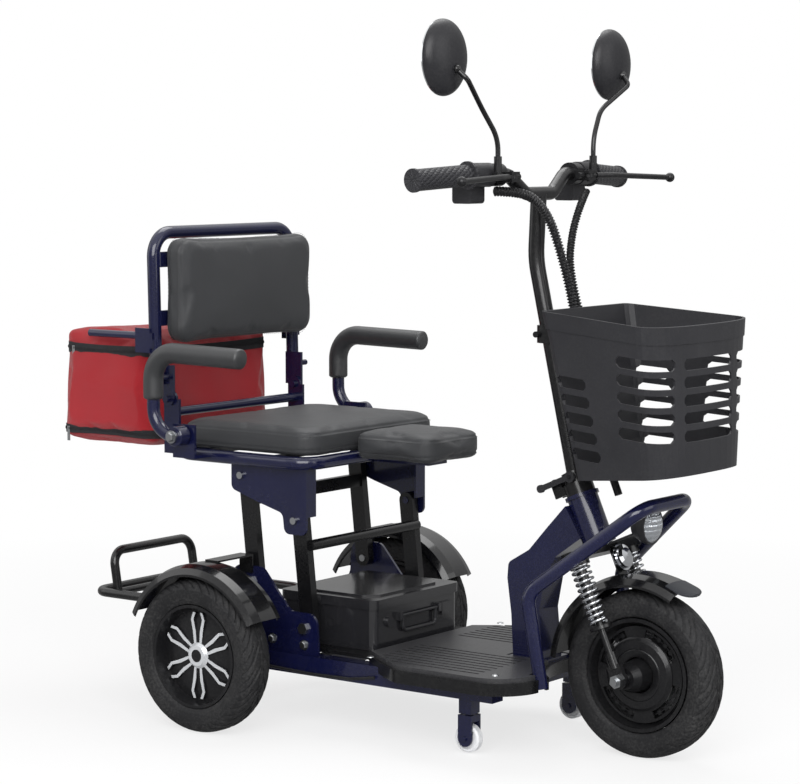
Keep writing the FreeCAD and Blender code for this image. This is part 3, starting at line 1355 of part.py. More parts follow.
def seat_frame():
    """Seat tube loop, linkage plates with pins, armrest plates, rear posts and pad bracket."""
    top_x = S.front_pivot_x - sine(S.leg_lean) * S.leg_length
    top_z = S.front_pivot_z + cosine(S.leg_lean) * S.leg_length
    rear_x = top_x - S.link_dx
    rear_z = top_z + S.link_dz
    z = float(S.seat_tube_z)
    half = float(S.seat_half)
    loop = tube([at(S.arm_pivot_x + 84, -half, z), at(S.seat_rear, -half, z), at(S.seat_rear, half, z),
                 at(S.seat_front, half, z), at(S.seat_front, -half, z), at(S.arm_pivot_x + 84, -half, z)],
                36, S.seat_tube_r)
    plate = body()
    face = S.leg_y + S.leg_depth / 2 + S.plate_gap
    drawing = sketch(plate, "XZ_Plane", face)
    polygon(drawing, [(top_x + 24, S.seat_tube_z + 4), (rear_x - 22, S.seat_tube_z + 4),
                      (rear_x - 22, rear_z - 24), (rear_x + 34, rear_z - 42),
                      (top_x - 26, top_z + 10), (top_x - 22, top_z - 24), (top_x + 24, top_z - 24)])
    solid = pad(plate, drawing, S.plate)
    round_edges(plate, solid, 12, lambda edge: runs_along(edge, Y_WAY)
                and edge.CenterOfMass.z < float(S.seat_tube_z))
    doc.recompute()
    flange = box(top_x + 24 - 4, top_x + 24, -face - S.plate, -face + 22, top_z + 6,
                 S.seat_tube_z - 4)
    web = box(rear_x - 20, top_x + 20, -S.seat_half, -face, S.seat_tube_z - 6, S.seat_tube_z)
    pins = [rod(x, -face - S.plate - 6, level, "y", S.pivot_r, S.plate + 6 + S.plate_gap
                + S.leg_depth + 2) for x, level in ((top_x, top_z), (rear_x, rear_z))]
    shelf = box(S.arm_pivot_x - 26, S.arm_pivot_x + 22, -S.arm_y + 20, -S.seat_half,
                S.seat_tube_z, S.seat_tube_z + 6)
    arm_plate = box(S.arm_pivot_x - 26, S.arm_pivot_x + 22, -S.arm_y + 15, -S.arm_y + 20,
                    S.seat_tube_z, S.arm_pivot_z + 18)
    arm_pin = rod(S.arm_pivot_x, -S.arm_y - 16, S.arm_pivot_z, "y", S.pivot_r, 33)
    arm_head = rod(S.arm_pivot_x, -S.arm_y - 18, S.arm_pivot_z, "y", 10, 5)
    post_low = box(S.back_pivot_x - 14, S.cushion_rear - 2, -S.back_half + 14, -S.back_half + 19,
                   S.seat_tube_z - 4, S.back_pivot_z)
    crown = rod(S.back_pivot_x, -S.back_half + 14, S.back_pivot_z, "y", 14, 5)
    back_pin = rod(S.back_pivot_x, -S.back_half + 1, S.back_pivot_z, "y", S.pivot_r, 24)
    side = fuse(plate, flange, web, *pins, shelf, arm_plate, arm_pin, arm_head, post_low, crown,
                back_pin)
    bars = []
    for x in (S.seat_rear + 70, S.seat_front - 70):
        bars.append(box(x - 10, x + 10, -S.seat_half, S.seat_half, S.seat_tube_z + 3,
                        S.seat_tube_z + 9))
    hoop = cross_rod(S.back_pivot_x + 4, S.back_pivot_z - 23, 8, S.back_half - 16)
    tongue = box(S.seat_front - 30, S.pad_front - 40, -26, 26, S.pad_low - 9, S.pad_low - S.face_gap)
    keep(fuse(feature(loop), side, mirror(side), *bars, hoop, tongue), "seat_frame")


def cushion(label, x0, x1, half, z0, z1, soft):
    """Plain upholstered block with rounded upper edges."""
    item = body(label)
    base = sketch(item, "XY_Plane", z0)
    polygon(base, rectangle(x0, x1, -half, half))
    solid = pad(item, base, z1 - z0)
    corners = round_edges(item, solid, soft * 2, lambda edge: runs_along(edge, Z_WAY))
    doc.recompute()
    round_edges(item, corners, soft, lambda edge: edge.BoundBox.ZMin > float(z1) - 0.1)
    return item


def armrests():
    """Bent armrest tube with a foam sleeve over its upper run."""
    for name, side in SIDES:
        y = side * float(S.arm_y)
        pivot = at(S.arm_pivot_x, y, S.arm_pivot_z)
        low = at(S.arm_rear_x, y, S.arm_pivot_z - 2)
        high = at(S.arm_rear_x, y, S.arm_top_z)
        end = at(S.arm_front_x, y, S.arm_top_z - 4)
        core = tube([pivot, low, high, end], [44, 46], S.arm_tube_r)
        eye = cylinder(pivot - Y_WAY * 12, Y_WAY, 17, 24)
        hole = cylinder(pivot - Y_WAY * 14, Y_WAY, float(S.pivot_r) + float(S.bore_gap), 28)
        frame = core.fuse(eye).cut(hole).removeSplitter()
        sleeve = tube([at(S.arm_rear_x, y, S.foam_low), high, end + Vector(6, 0, 0)], 46, S.foam_r)
        foam = sleeve.cut(core)
        keep(feature(Part.makeCompound([frame, foam])), "armrest_" + name)


def backrest_frame():
    """Backrest hoop with hinge ears, cushion straps and the arms that carry the bag."""
    half = float(S.back_half)
    pivot_x = float(S.back_pivot_x)
    pivot_z = float(S.back_pivot_z)
    low_z = pivot_z + 24
    hoop = tube([at(S.back_x + 2, -half, low_z), at(S.back_x - 4, -half, S.back_top),
                 at(S.back_x - 4, half, S.back_top), at(S.back_x + 2, half, low_z)], 42, 11)
    parts = []
    for side in (-1, 1):
        inner = side * (half - 13.5)
        y0, y1 = sorted((inner, inner + side * 5))
        ear = block(pivot_x - 24, pivot_x + 12, y0, y1, pivot_z, pivot_z + 58)
        eye = cylinder(at(pivot_x, y0, pivot_z), Y_WAY, 12, 5)
        p0, p1 = sorted((side * (half - 12), side * (half + 12)))
        rear = float(S.bag_front) - 7
        plate = block(rear, float(S.back_x), side * half + (11 if side > 0 else -15),
                      side * half + (15 if side > 0 else -11), 614, 656)
        pull = cylinder(at(pivot_x + 2, p0, pivot_z + 38), Y_WAY, 5, p1 - p0)
        arm_y = side * float(S.bag_half + S.face_gap + 6.5)
        arm = cylinder(at(rear - 135, arm_y, 640), X_WAY, 6.5, 141)
        joint = block(rear, rear + 14, min(arm_y, side * (half + 15)),
                      max(arm_y, side * (half + 15)), 634, 646)
        tab = block(float(S.back_x) - 6, float(S.back_x) + 6, min(plate.BoundBox.YMin, side * half),
                    max(plate.BoundBox.YMax, side * half), 622, 648)
        parts.extend([ear, eye, plate, pull, arm, joint, tab])
    strap_x = float(S.back_cushion_x - S.face_gap)
    straps = [block(strap_x - 8, strap_x, -half, half, z, z + 26) for z in (660, 760)]
    whole = hoop.fuse(parts + straps)
    for side in (-1, 1):
        whole = whole.cut(cylinder(at(pivot_x, side * half - 30, pivot_z), Y_WAY,
                                   float(S.pivot_r) + float(S.bore_gap), 60))
    keep(feature(whole.removeSplitter()), "backrest_frame")


def soft_parts():
    """Seat cushion, front pad, backrest cushion and the zipped bag."""
    cushion("seat_cushion", S.cushion_rear, S.cushion_front, S.cushion_half, S.cushion_low,
            S.cushion_high, 13)
    cushion("front_pad", S.cushion_front + 6, S.pad_front, S.pad_half, S.pad_low, S.pad_high, 11)
    item = body("backrest_cushion")
    face = sketch(item, "YZ_Plane", S.back_cushion_x)
    polygon(face, rectangle(-S.back_cushion_half, S.back_cushion_half, S.back_cushion_low,
                            S.back_cushion_high))
    solid = pad(item, face, S.back_cushion_depth)
    corners = round_edges(item, solid, 26, lambda edge: runs_along(edge, X_WAY))
    doc.recompute()
    round_edges(item, corners, 13, lambda edge: edge.BoundBox.XMin
                > float(S.back_cushion_x + S.back_cushion_depth) - 0.1)
    bag = body("bag")
    base = sketch(bag, "XY_Plane", S.bag_low)
    polygon(base, rectangle(S.bag_rear, S.bag_front, -S.bag_half, S.bag_half))
    solid = pad(bag, base, S.bag_high - S.bag_low)
    round_edges(bag, solid, 12, lambda edge: True)


def build():
    """Make every sub-part."""
    for make in (base_frame, side_plates, deck_pan, floor_mat, neck_frame, head_parts,
                 bumper_guard, rear_rack, rear_fenders, battery_case, battery_handle,
                 anti_tip_posts, caster_wheels, frame_bolts, frame_lead, rear_wheels, fork_crown,
                 fork_springs, fork_rods, front_axle, brake_caliper, front_wheel, front_fender,
                 headlamp, horn, fold_parts, steering_column, fold_lever, grips, lever_perches,
                 brake_levers, control_housings, switches, mirrors, basket, wiring_loom,
                 front_legs, rear_legs, seat_frame, armrests, backrest_frame, soft_parts):
        make()
    doc.recompute()


def check_and_export():
    """Refuse any failed object or bad shape, then write one STEP file for each sub-part."""
    for item in doc.Objects:
        if "Invalid" in item.State or "Error" in item.State:
            raise RuntimeError("failed object: %s (%s)" % (item.Name, item.Label))
    for item in NODES:
        if item.Shape.isNull() or not item.Shape.isValid():
            raise RuntimeError("bad shape: %s" % item.Label)
    os.makedirs("parts", exist_ok=True)
    for item in NODES:
        item.Shape.exportStep("parts/%s.step" % item.Label)
    print("%d nodes" % len(NODES))


build()
check_and_export()
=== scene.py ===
"""Finishes, soft goods, tyres and small fittings of a folding three-wheel mobility scooter."""
import json
import math

import bmesh
import bpy
import numpy as np
from bpy.props import FloatProperty, FloatVectorProperty, IntProperty, PointerProperty
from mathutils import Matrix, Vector


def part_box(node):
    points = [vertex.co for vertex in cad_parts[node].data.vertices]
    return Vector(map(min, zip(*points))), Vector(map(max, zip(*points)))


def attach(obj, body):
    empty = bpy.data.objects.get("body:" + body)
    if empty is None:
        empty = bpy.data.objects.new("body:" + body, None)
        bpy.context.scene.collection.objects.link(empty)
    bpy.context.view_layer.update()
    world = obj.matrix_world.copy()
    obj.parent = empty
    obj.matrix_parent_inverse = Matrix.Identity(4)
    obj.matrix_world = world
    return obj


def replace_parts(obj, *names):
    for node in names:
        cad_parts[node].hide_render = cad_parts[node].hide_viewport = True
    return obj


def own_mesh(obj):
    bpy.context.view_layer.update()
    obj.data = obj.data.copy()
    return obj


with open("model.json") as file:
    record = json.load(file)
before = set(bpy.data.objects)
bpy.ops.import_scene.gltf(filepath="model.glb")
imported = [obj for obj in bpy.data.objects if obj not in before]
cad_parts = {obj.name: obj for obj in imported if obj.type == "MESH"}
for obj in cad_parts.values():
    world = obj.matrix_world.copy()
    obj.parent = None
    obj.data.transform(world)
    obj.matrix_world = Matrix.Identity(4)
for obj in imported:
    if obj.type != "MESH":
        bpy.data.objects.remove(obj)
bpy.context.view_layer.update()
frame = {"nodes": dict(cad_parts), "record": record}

bl_info = {
    "name": "Folding Mobility Scooter",
    "version": (1, 0, 0),
    "blender": (4, 5, 0),
    "location": "View3D > Sidebar > Scooter",
    "description": "Dresses the frame of a folding three-wheel mobility scooter",
    "category": "Object",
}

NODES = frame["nodes"]
SIDES = ("right", "left")
SIDE_AXES = ((1, 2), (0, 2), (0, 1))
AXLE = (0, -1, 0)


def linear(red, green, blue):
    """Scene-linear colour from display values of 0 to 255."""
    return tuple((value / 255 / 12.92) if value < 11 else ((value / 255 + 0.055) / 1.055) ** 2.4
                 for value in (red, green, blue))


# ------------------------------------------------------------------ settings
class ScooterSizes(bpy.types.PropertyGroup):
    """Sizes that a user would change."""
    tread_depth: FloatProperty(name="Tread depth", description="Depth of the tyre grooves",
                               default=0.0038, min=0, max=0.006, unit="LENGTH")
    tread_blocks: IntProperty(name="Tread blocks", description="Blocks round each tyre",
                              default=21, min=12, max=60)
    seam_depth: FloatProperty(name="Seam depth", description="Depth of the sewn seams",
                              default=0.0016, min=0, max=0.004, unit="LENGTH")
    stitch_length: FloatProperty(name="Stitch length", description="Length of one stitch",
                                 default=0.0042, min=0.002, max=0.01, unit="LENGTH")
    spring_turns: IntProperty(name="Spring turns", description="Coils of each fork spring",
                              default=11, min=5, max=20)
    wire_radius: FloatProperty(name="Spring wire radius", description="Radius of the spring wire",
                               default=0.0024, min=0.001, max=0.004, unit="LENGTH")
    wrap_pitch: FloatProperty(name="Wrap pitch", description="Pitch of the spiral cable wrap",
                              default=0.0052, min=0.002, max=0.02, unit="LENGTH")


class ScooterColours(bpy.types.PropertyGroup):
    """Colours that a user would change."""
    navy: FloatVectorProperty(name="Frame", description="Frame lacquer", subtype="COLOR",
                              default=linear(15, 18, 52))
    black: FloatVectorProperty(name="Black parts", description="Black lacquer and gloss plastic",
                               subtype="COLOR", default=linear(14, 14, 16))
    plastic: FloatVectorProperty(name="Satin plastic", description="Housings and the basket",
                                 subtype="COLOR", default=linear(36, 36, 39))
    leather: FloatVectorProperty(name="Upholstery", description="Seat covers", subtype="COLOR",
                                 default=linear(54, 55, 57))
    foam: FloatVectorProperty(name="Foam sleeves", description="Armrest sleeves", subtype="COLOR",
                              default=linear(42, 43, 45))
    bag: FloatVectorProperty(name="Bag", description="Woven bag cloth", subtype="COLOR",
                             default=linear(160, 22, 32))
    rubber: FloatVectorProperty(name="Rubber", description="Tyres and mat", subtype="COLOR",
                                default=linear(26, 26, 28))


def sizes():
    """The size settings of this scene."""
    return bpy.context.scene.scooter_sizes


def colours():
    """The colour settings of this scene."""
    return bpy.context.scene.scooter_colours


# ------------------------------------------------------------------ shader parts
def fill_inputs(tree, node, inputs):
    """Put values or links on a node's inputs."""
    for key, value in inputs.items():
        if isinstance(value, bpy.types.NodeSocket):
            tree.links.new(value, node.inputs[key])
        else:
            node.inputs[key].default_value = value
    return node


def add(tree, kind, inputs=None, **settings):
    """One node, with values or links on its inputs."""
    node = tree.nodes.new("ShaderNode" + kind)
    for key, value in settings.items():
        setattr(node, key, value)
    return fill_inputs(tree, node, inputs or {})


def math_of(tree, operation, first, second=0.0, third=0.0):
    """One arithmetic step."""
    return add(tree, "Math", {0: first, 1: second, 2: third}, operation=operation).outputs[0]


def new_group(name, inputs, outputs):
    """An empty node group with named inputs and outputs."""
    tree = bpy.data.node_groups.new(name, "ShaderNodeTree")
    for key, kind, value in inputs:
        socket = tree.interface.new_socket(key, in_out="INPUT", socket_type="NodeSocket" + kind)
        if value is not None:
            socket.default_value = value
    for key in outputs:
        tree.interface.new_socket(key, in_out="OUTPUT", socket_type="NodeSocketFloat")
    return tree, tree.nodes.new("NodeGroupInput"), tree.nodes.new("NodeGroupOutput")


def grain_group():
    """Moulded or sprayed surface: a fine height and a slow tone from two noises."""
    tree, entry, out = new_group("Surface grain", [("Vector", "Vector", None),
                                                   ("Scale", "Float", 300.0),
                                                   ("Patch", "Float", 9.0)], ("Height", "Tone"))
    place = entry.outputs["Vector"]
    fine = add(tree, "TexNoise", {"Vector": place, "Scale": entry.outputs["Scale"],
                                  "Detail": 3.0, "Roughness": 0.6})
    slow = add(tree, "TexNoise", {"Vector": place, "Scale": entry.outputs["Patch"],
                                  "Detail": 5.0, "Roughness": 0.62})
    tree.links.new(fine.outputs["Fac"], out.inputs["Height"])
    tree.links.new(slow.outputs["Fac"], out.inputs["Tone"])
    return tree


def hide_group():
    """Embossed leatherette: pebbles from cell distance, broken by creases."""
    tree, entry, out = new_group("Leatherette", [("Vector", "Vector", None),
                                                 ("Scale", "Float", 420.0)], ("Height",))
    place = entry.outputs["Vector"]
    bend = add(tree, "TexNoise", {"Vector": place, "Scale": 60.0, "Detail": 2.0})
    moved = add(tree, "VectorMath", {0: bend.outputs["Color"], 1: (0.004, 0.004, 0.004)},
                operation="MULTIPLY")
    spot = add(tree, "VectorMath", {0: place, 1: moved.outputs[0]}, operation="ADD")
    cell = add(tree, "TexVoronoi", {"Vector": spot.outputs[0], "Scale": entry.outputs["Scale"]},
               feature="DISTANCE_TO_EDGE")
    pebble = add(tree, "MapRange", {"Value": cell.outputs["Distance"], "From Max": 0.18})
    crease = add(tree, "TexNoise", {"Vector": place, "Scale": 34.0, "Detail": 6.0,
                                    "Roughness": 0.7})
    height = math_of(tree, "MULTIPLY_ADD", crease.outputs["Fac"], 0.9, pebble.outputs[0])
    tree.links.new(height, out.inputs["Height"])
    return tree


def weave_group():
    """Plain weave: warp and weft threads that pass over each other in turn."""
    tree, entry, out = new_group("Plain weave", [("Vector", "Vector", None),
                                                 ("Pitch", "Float", 0.0011)], ("Height", "Mask"))
    parts = add(tree, "SeparateXYZ", {0: entry.outputs["Vector"]})
    turn = math_of(tree, "DIVIDE", math.pi, entry.outputs["Pitch"])
    across = math_of(tree, "MULTIPLY", parts.outputs[0], turn)
    along = math_of(tree, "MULTIPLY", parts.outputs[1], turn)
    warp = math_of(tree, "ABSOLUTE", math_of(tree, "SINE", across))
    weft = math_of(tree, "ABSOLUTE", math_of(tree, "SINE", along))
    over = math_of(tree, "SIGN", math_of(tree, "MULTIPLY", math_of(tree, "COSINE", across),
                                         math_of(tree, "COSINE", along)))
    mask = math_of(tree, "MULTIPLY_ADD", over, 0.5, 0.5)
    height = add(tree, "Mix", {0: mask, 2: weft, 3: warp}).outputs[0]
    tree.links.new(height, out.inputs["Height"])
    tree.links.new(mask, out.inputs["Mask"])
    return tree


def knurl_group():
    """Diamond grip: two crossing families of ridges round an axis along Z."""
    tree, entry, out = new_group("Diamond grip", [("Vector", "Vector", None),
                                                  ("Count", "Float", 12.0),
                                                  ("Pitch", "Float", 0.013)], ("Height", "Mask"))
    parts = add(tree, "SeparateXYZ", {0: entry.outputs["Vector"]})
    angle = math_of(tree, "ARCTAN2", parts.outputs[1], parts.outputs[0])
    turn = math_of(tree, "MULTIPLY", angle, math_of(tree, "MULTIPLY", entry.outputs["Count"], 0.5))
    threads = math_of(tree, "DIVIDE", parts.outputs[2], entry.outputs["Pitch"])
    rise = math_of(tree, "MULTIPLY", threads, math.pi)
    left = math_of(tree, "ABSOLUTE", math_of(tree, "SINE", math_of(tree, "ADD", turn, rise)))
    right = math_of(tree, "ABSOLUTE", math_of(tree, "SINE", math_of(tree, "SUBTRACT", turn, rise)))
    height = math_of(tree, "MULTIPLY", left, right)
    tree.links.new(height, out.inputs["Height"])
    tree.links.new(math_of(tree, "GREATER_THAN", height, 0.3), out.inputs["Mask"])
    return tree


def dust_group():
    """Light wear and dust: scattered specks and rubbed patches as one mask."""
    tree, entry, out = new_group("Dust and wear", [("Vector", "Vector", None),
                                                   ("Amount", "Float", 0.2)], ("Mask",))
    place = entry.outputs["Vector"]
    patch = add(tree, "TexNoise", {"Vector": place, "Scale": 14.0, "Detail": 8.0,
                                   "Roughness": 0.75})
    speck = add(tree, "TexNoise", {"Vector": place, "Scale": 260.0, "Detail": 2.0})
    both = math_of(tree, "MULTIPLY", patch.outputs["Fac"], speck.outputs["Fac"])
    shown = add(tree, "MapRange", {"Value": both, "From Min": 0.2, "From Max": 0.5})
    tree.links.new(math_of(tree, "MULTIPLY", shown.outputs[0], entry.outputs["Amount"]),
                   out.inputs["Mask"])
    return tree


GROUPS = {"grain": grain_group, "hide": hide_group, "weave": weave_group, "knurl": knurl_group,
          "dust": dust_group}
BUILT = {}


def effect(tree, name, inputs):
    """A shared effect placed in a material."""
    if name not in BUILT:
        BUILT[name] = GROUPS[name]()
    node = tree.nodes.new("ShaderNodeGroup")
    node.node_tree = BUILT[name]
    return fill_inputs(tree, node, inputs)


def shade(colour, factor):
    """A colour made lighter or darker, with full alpha."""
    return tuple(min(1.0, channel * factor) for channel in colour[:3]) + (1.0,)


def blend_colours(tree, factor, low, high):
    """Colour that runs from low to high with a factor."""
    return add(tree, "Mix", {0: factor, 6: low, 7: high}, data_type="RGBA").outputs[2]


def object_place(tree):
    """Position on the piece in its own coordinates."""
    return add(tree, "TexCoord").outputs["Object"]


def make_finish(name, colour, roughness, scale=320.0, bump=0.12, depth=0.0004, spread=0.12,
                pattern="grain", vector=None, dust=0.12, dust_colour=(0.12, 0.118, 0.115, 1),
                **sockets):
    """A material with grain, slow colour change, uneven gloss and a little dust."""
    material = bpy.data.materials.new(name)
    material.use_nodes = True
    tree = material.node_tree
    shader = tree.nodes["Principled BSDF"]
    relief = grain = effect(tree, "grain", {"Vector": object_place(tree), "Scale": scale})
    if pattern != "grain":
        measure = {"hide": {"Scale": scale}, "weave": {"Pitch": scale}, "knurl": {}}[pattern]
        place = vector(tree) if vector else object_place(tree)
        relief = effect(tree, pattern, {"Vector": place, **measure})
    tone = blend_colours(tree, grain.outputs["Tone"], shade(colour, 1 - spread * 2),
                         shade(colour, 1 + spread * 2))
    if pattern in ("weave", "knurl"):
        tone = blend_colours(tree, math_of(tree, "MULTIPLY", relief.outputs["Mask"], 0.3), tone,
                             shade(colour, 0.55))
    worn = effect(tree, "dust", {"Vector": object_place(tree), "Amount": dust})
    tone = blend_colours(tree, worn.outputs["Mask"], tone, dust_colour)
    gloss = math_of(tree, "MULTIPLY_ADD", grain.outputs["Tone"], 0.16, roughness - 0.08)
    gloss = math_of(tree, "ADD", gloss, math_of(tree, "MULTIPLY", worn.outputs["Mask"], 0.4))
    height = add(tree, "Bump", {"Height": relief.outputs["Height"], "Strength": bump,
                                "Distance": depth})
    tree.links.new(tone, shader.inputs["Base Color"])
    tree.links.new(gloss, shader.inputs["Roughness"])
    tree.links.new(height.outputs[0], shader.inputs["Normal"])
    for key, value in {"Specular_IOR_Level": 0.3, **sockets}.items():
        shader.inputs[key.replace("_", " ")].default_value = value
    return material


def painted_by(material, mask_maker, colour, roughness, metallic=0.0):
    """Repaint the part of a finish that a mask covers, such as a rib, a tube or a lens."""
    tree = material.node_tree
    shader = tree.nodes["Principled BSDF"]
    mask = mask_maker(tree)
    under = shader.inputs["Base Color"].links[0].from_socket
    gloss = shader.inputs["Roughness"].links[0].from_socket
    tree.links.new(blend_colours(tree, mask, under, shade(colour, 1.0)),
                   shader.inputs["Base Color"])
    tree.links.new(add(tree, "Mix", {0: mask, 2: gloss, 3: roughness}).outputs[0],
                   shader.inputs["Roughness"])
    tree.links.new(math_of(tree, "MULTIPLY", mask, metallic), shader.inputs["Metallic"])
    return material


def axis_value(tree, axis):
    """One coordinate of the position on the piece."""
    return add(tree, "SeparateXYZ", {0: object_place(tree)}).outputs[axis]


def beyond(tree, axis, limit, absolute=False):
    """Mask of what lies past a limit along an axis."""
    value = axis_value(tree, axis)
    if absolute:
        value = math_of(tree, "ABSOLUTE", value)
    return math_of(tree, "GREATER_THAN", value, limit)


def distance_from(tree, centre, keep=(1, 1, 1)):
    """Distance from a point, measured along the kept axes only."""
    offset = add(tree, "VectorMath", {0: object_place(tree), 1: tuple(centre)},
                 operation="SUBTRACT")
    flat = add(tree, "VectorMath", {0: offset.outputs[0], 1: tuple(keep)}, operation="MULTIPLY")
    return add(tree, "VectorMath", {0: flat.outputs[0]}, operation="LENGTH").outputs["Value"]


def aligned_to(start, direction):
    """A vector maker that moves a point to the origin and turns a direction onto Z."""
    turn = Vector((0, 0, 1)).rotation_difference(Vector(direction)).inverted().to_matrix()

    def maker(tree):
        offset = add(tree, "VectorMath", {0: object_place(tree), 1: tuple(start)},
                     operation="SUBTRACT").outputs[0]
        rows = [add(tree, "VectorMath", {0: offset, 1: tuple(row)},
                    operation="DOT_PRODUCT").outputs["Value"] for row in turn]
        return add(tree, "CombineXYZ", {0: rows[0], 1: rows[1], 2: rows[2]}).outputs[0]
    return maker


FINISHES = {}


def recipes():
    """Colour, roughness, grain scale, bump strength and further settings of each finish."""
    look = colours()
    return {
        "Navy lacquer": (look.navy, 0.22, 900, 0.05, dict(
            dust=0.08, Coat_Weight=0.6, Coat_Roughness=0.06)),
        "Black lacquer": (look.black, 0.28, 900, 0.05, dict(
            dust=0.1, Coat_Weight=0.35, Coat_Roughness=0.1)),
        "Gloss plastic": (look.black, 0.17, 600, 0.03, dict(
            dust=0.08, Coat_Weight=0.4, Coat_Roughness=0.05)),
        "Battery plastic": (linear(34, 34, 37), 0.2, 600, 0.05, dict(
            dust=0.1, Specular_IOR_Level=0.6, Coat_Weight=0.5, Coat_Roughness=0.12)),
        "Satin plastic": (look.plastic, 0.46, 900, 0.25, dict(dust=0.1)),
        "Basket plastic": (shade(look.plastic, 1.25), 0.4, 1300, 0.3, dict(dust=0.08)),
        "White plastic": (linear(232, 233, 235), 0.34, 500, 0.05, dict(spread=0.02, dust=0.16)),
        "Tyre rubber": (look.rubber, 0.62, 700, 0.35, dict(dust=0.3)),
        "Deck rubber": (shade(look.rubber, 2.6), 0.36, 800, 0.3, dict(
            dust=0.25, Specular_IOR_Level=0.6)),
        "Cable wrap": (shade(look.rubber, 1.1), 0.42, 900, 0.1, {}),
        "Foam": (look.foam, 0.42, 1500, 0.4, dict(
            depth=0.0006, dust=0.06, Specular_IOR_Level=0.6, Coat_Weight=0.15,
            Coat_Roughness=0.3)),
        "Chrome": (linear(214, 216, 220), 0.1, 500, 0.02, dict(
            spread=0.02, dust=0.03, Metallic=1.0)),
        "Zinc": (linear(176, 178, 180), 0.3, 900, 0.1, dict(Metallic=1.0)),
        "Black alloy": (linear(28, 28, 30), 0.36, 900, 0.2, dict(
            dust=0.14, Metallic=0.4, Coat_Weight=0.2)),
        "Leatherette": (look.leather, 0.46, 420, 0.22, dict(
            depth=0.0005, spread=0.08, pattern="hide", dust=0.05, Sheen_Weight=0.06,
            Sheen_Roughness=0.4)),
        "Thread": (shade(look.leather, 0.75), 0.6, 1500, 0.3, {}),
        "Bag cloth": (look.bag, 0.78, 0.0013, 0.5, dict(
            spread=0.1, pattern="weave", vector=own_cloth, dust=0.05, Sheen_Weight=0.2,
            Sheen_Roughness=0.5)),
        "Zip tape": (linear(38, 37, 40), 0.75, 0.0009, 0.5, dict(
            depth=0.0003, spread=0.1, pattern="weave", vector=own_cloth)),
        "Fender flap": (linear(50, 52, 57), 0.5, 700, 0.3, {}),
    }


def made_from(recipe, name):
    """A new material from one of the recipes."""
    colour, roughness, scale, bump, others = recipes()[recipe]
    return make_finish(name, colour, roughness, scale, bump, **others)


def finish_named(name):
    """A finish of the scooter, made once."""
    if name not in FINISHES:
        FINISHES[name] = made_from(name, name)
    return FINISHES[name]


def own_cloth(tree):
    """The piece's own UV map, laid out in metres."""
    return add(tree, "UVMap", uv_map="Cloth").outputs[0]


def ribbed_lens():
    """Ribbed clear lens over a bright reflector: upright flutes crossed by a coarser fan."""
    material = make_finish("Lamp lens", linear(205, 210, 216), 0.16, 300, 0.1, spread=0.05,
                           dust=0.0, Metallic=0.85, Coat_Weight=1.0, Coat_Roughness=0.03)
    tree = material.node_tree
    shader = tree.nodes["Principled BSDF"]
    flutes = add(tree, "TexWave", {"Vector": object_place(tree), "Scale": 95.0, "Distortion": 0.6},
                 bands_direction="Y")
    fan = add(tree, "TexWave", {"Vector": object_place(tree), "Scale": 42.0, "Distortion": 1.5},
              bands_direction="Z")
    height = math_of(tree, "MULTIPLY_ADD", fan.outputs["Fac"], 0.6, flutes.outputs["Fac"])
    bump = add(tree, "Bump", {"Height": height, "Strength": 0.8, "Distance": 0.002})
    tree.links.new(bump.outputs[0], shader.inputs["Normal"])
    return material


# ------------------------------------------------------------------ surfaces
def quads(rows, columns, wrap_rows=False, wrap_columns=True):
    """Faces of a grid of points, joined up where it wraps."""
    row = np.arange(rows if wrap_rows else rows - 1)
    column = np.arange(columns if wrap_columns else columns - 1)
    r, c = np.meshgrid(row, column, indexing="ij")
    r1, c1 = (r + 1) % rows, (c + 1) % columns
    corners = [r * columns + c, r * columns + c1, r1 * columns + c1, r1 * columns + c]
    return np.stack(corners, -1).reshape(-1, 4)


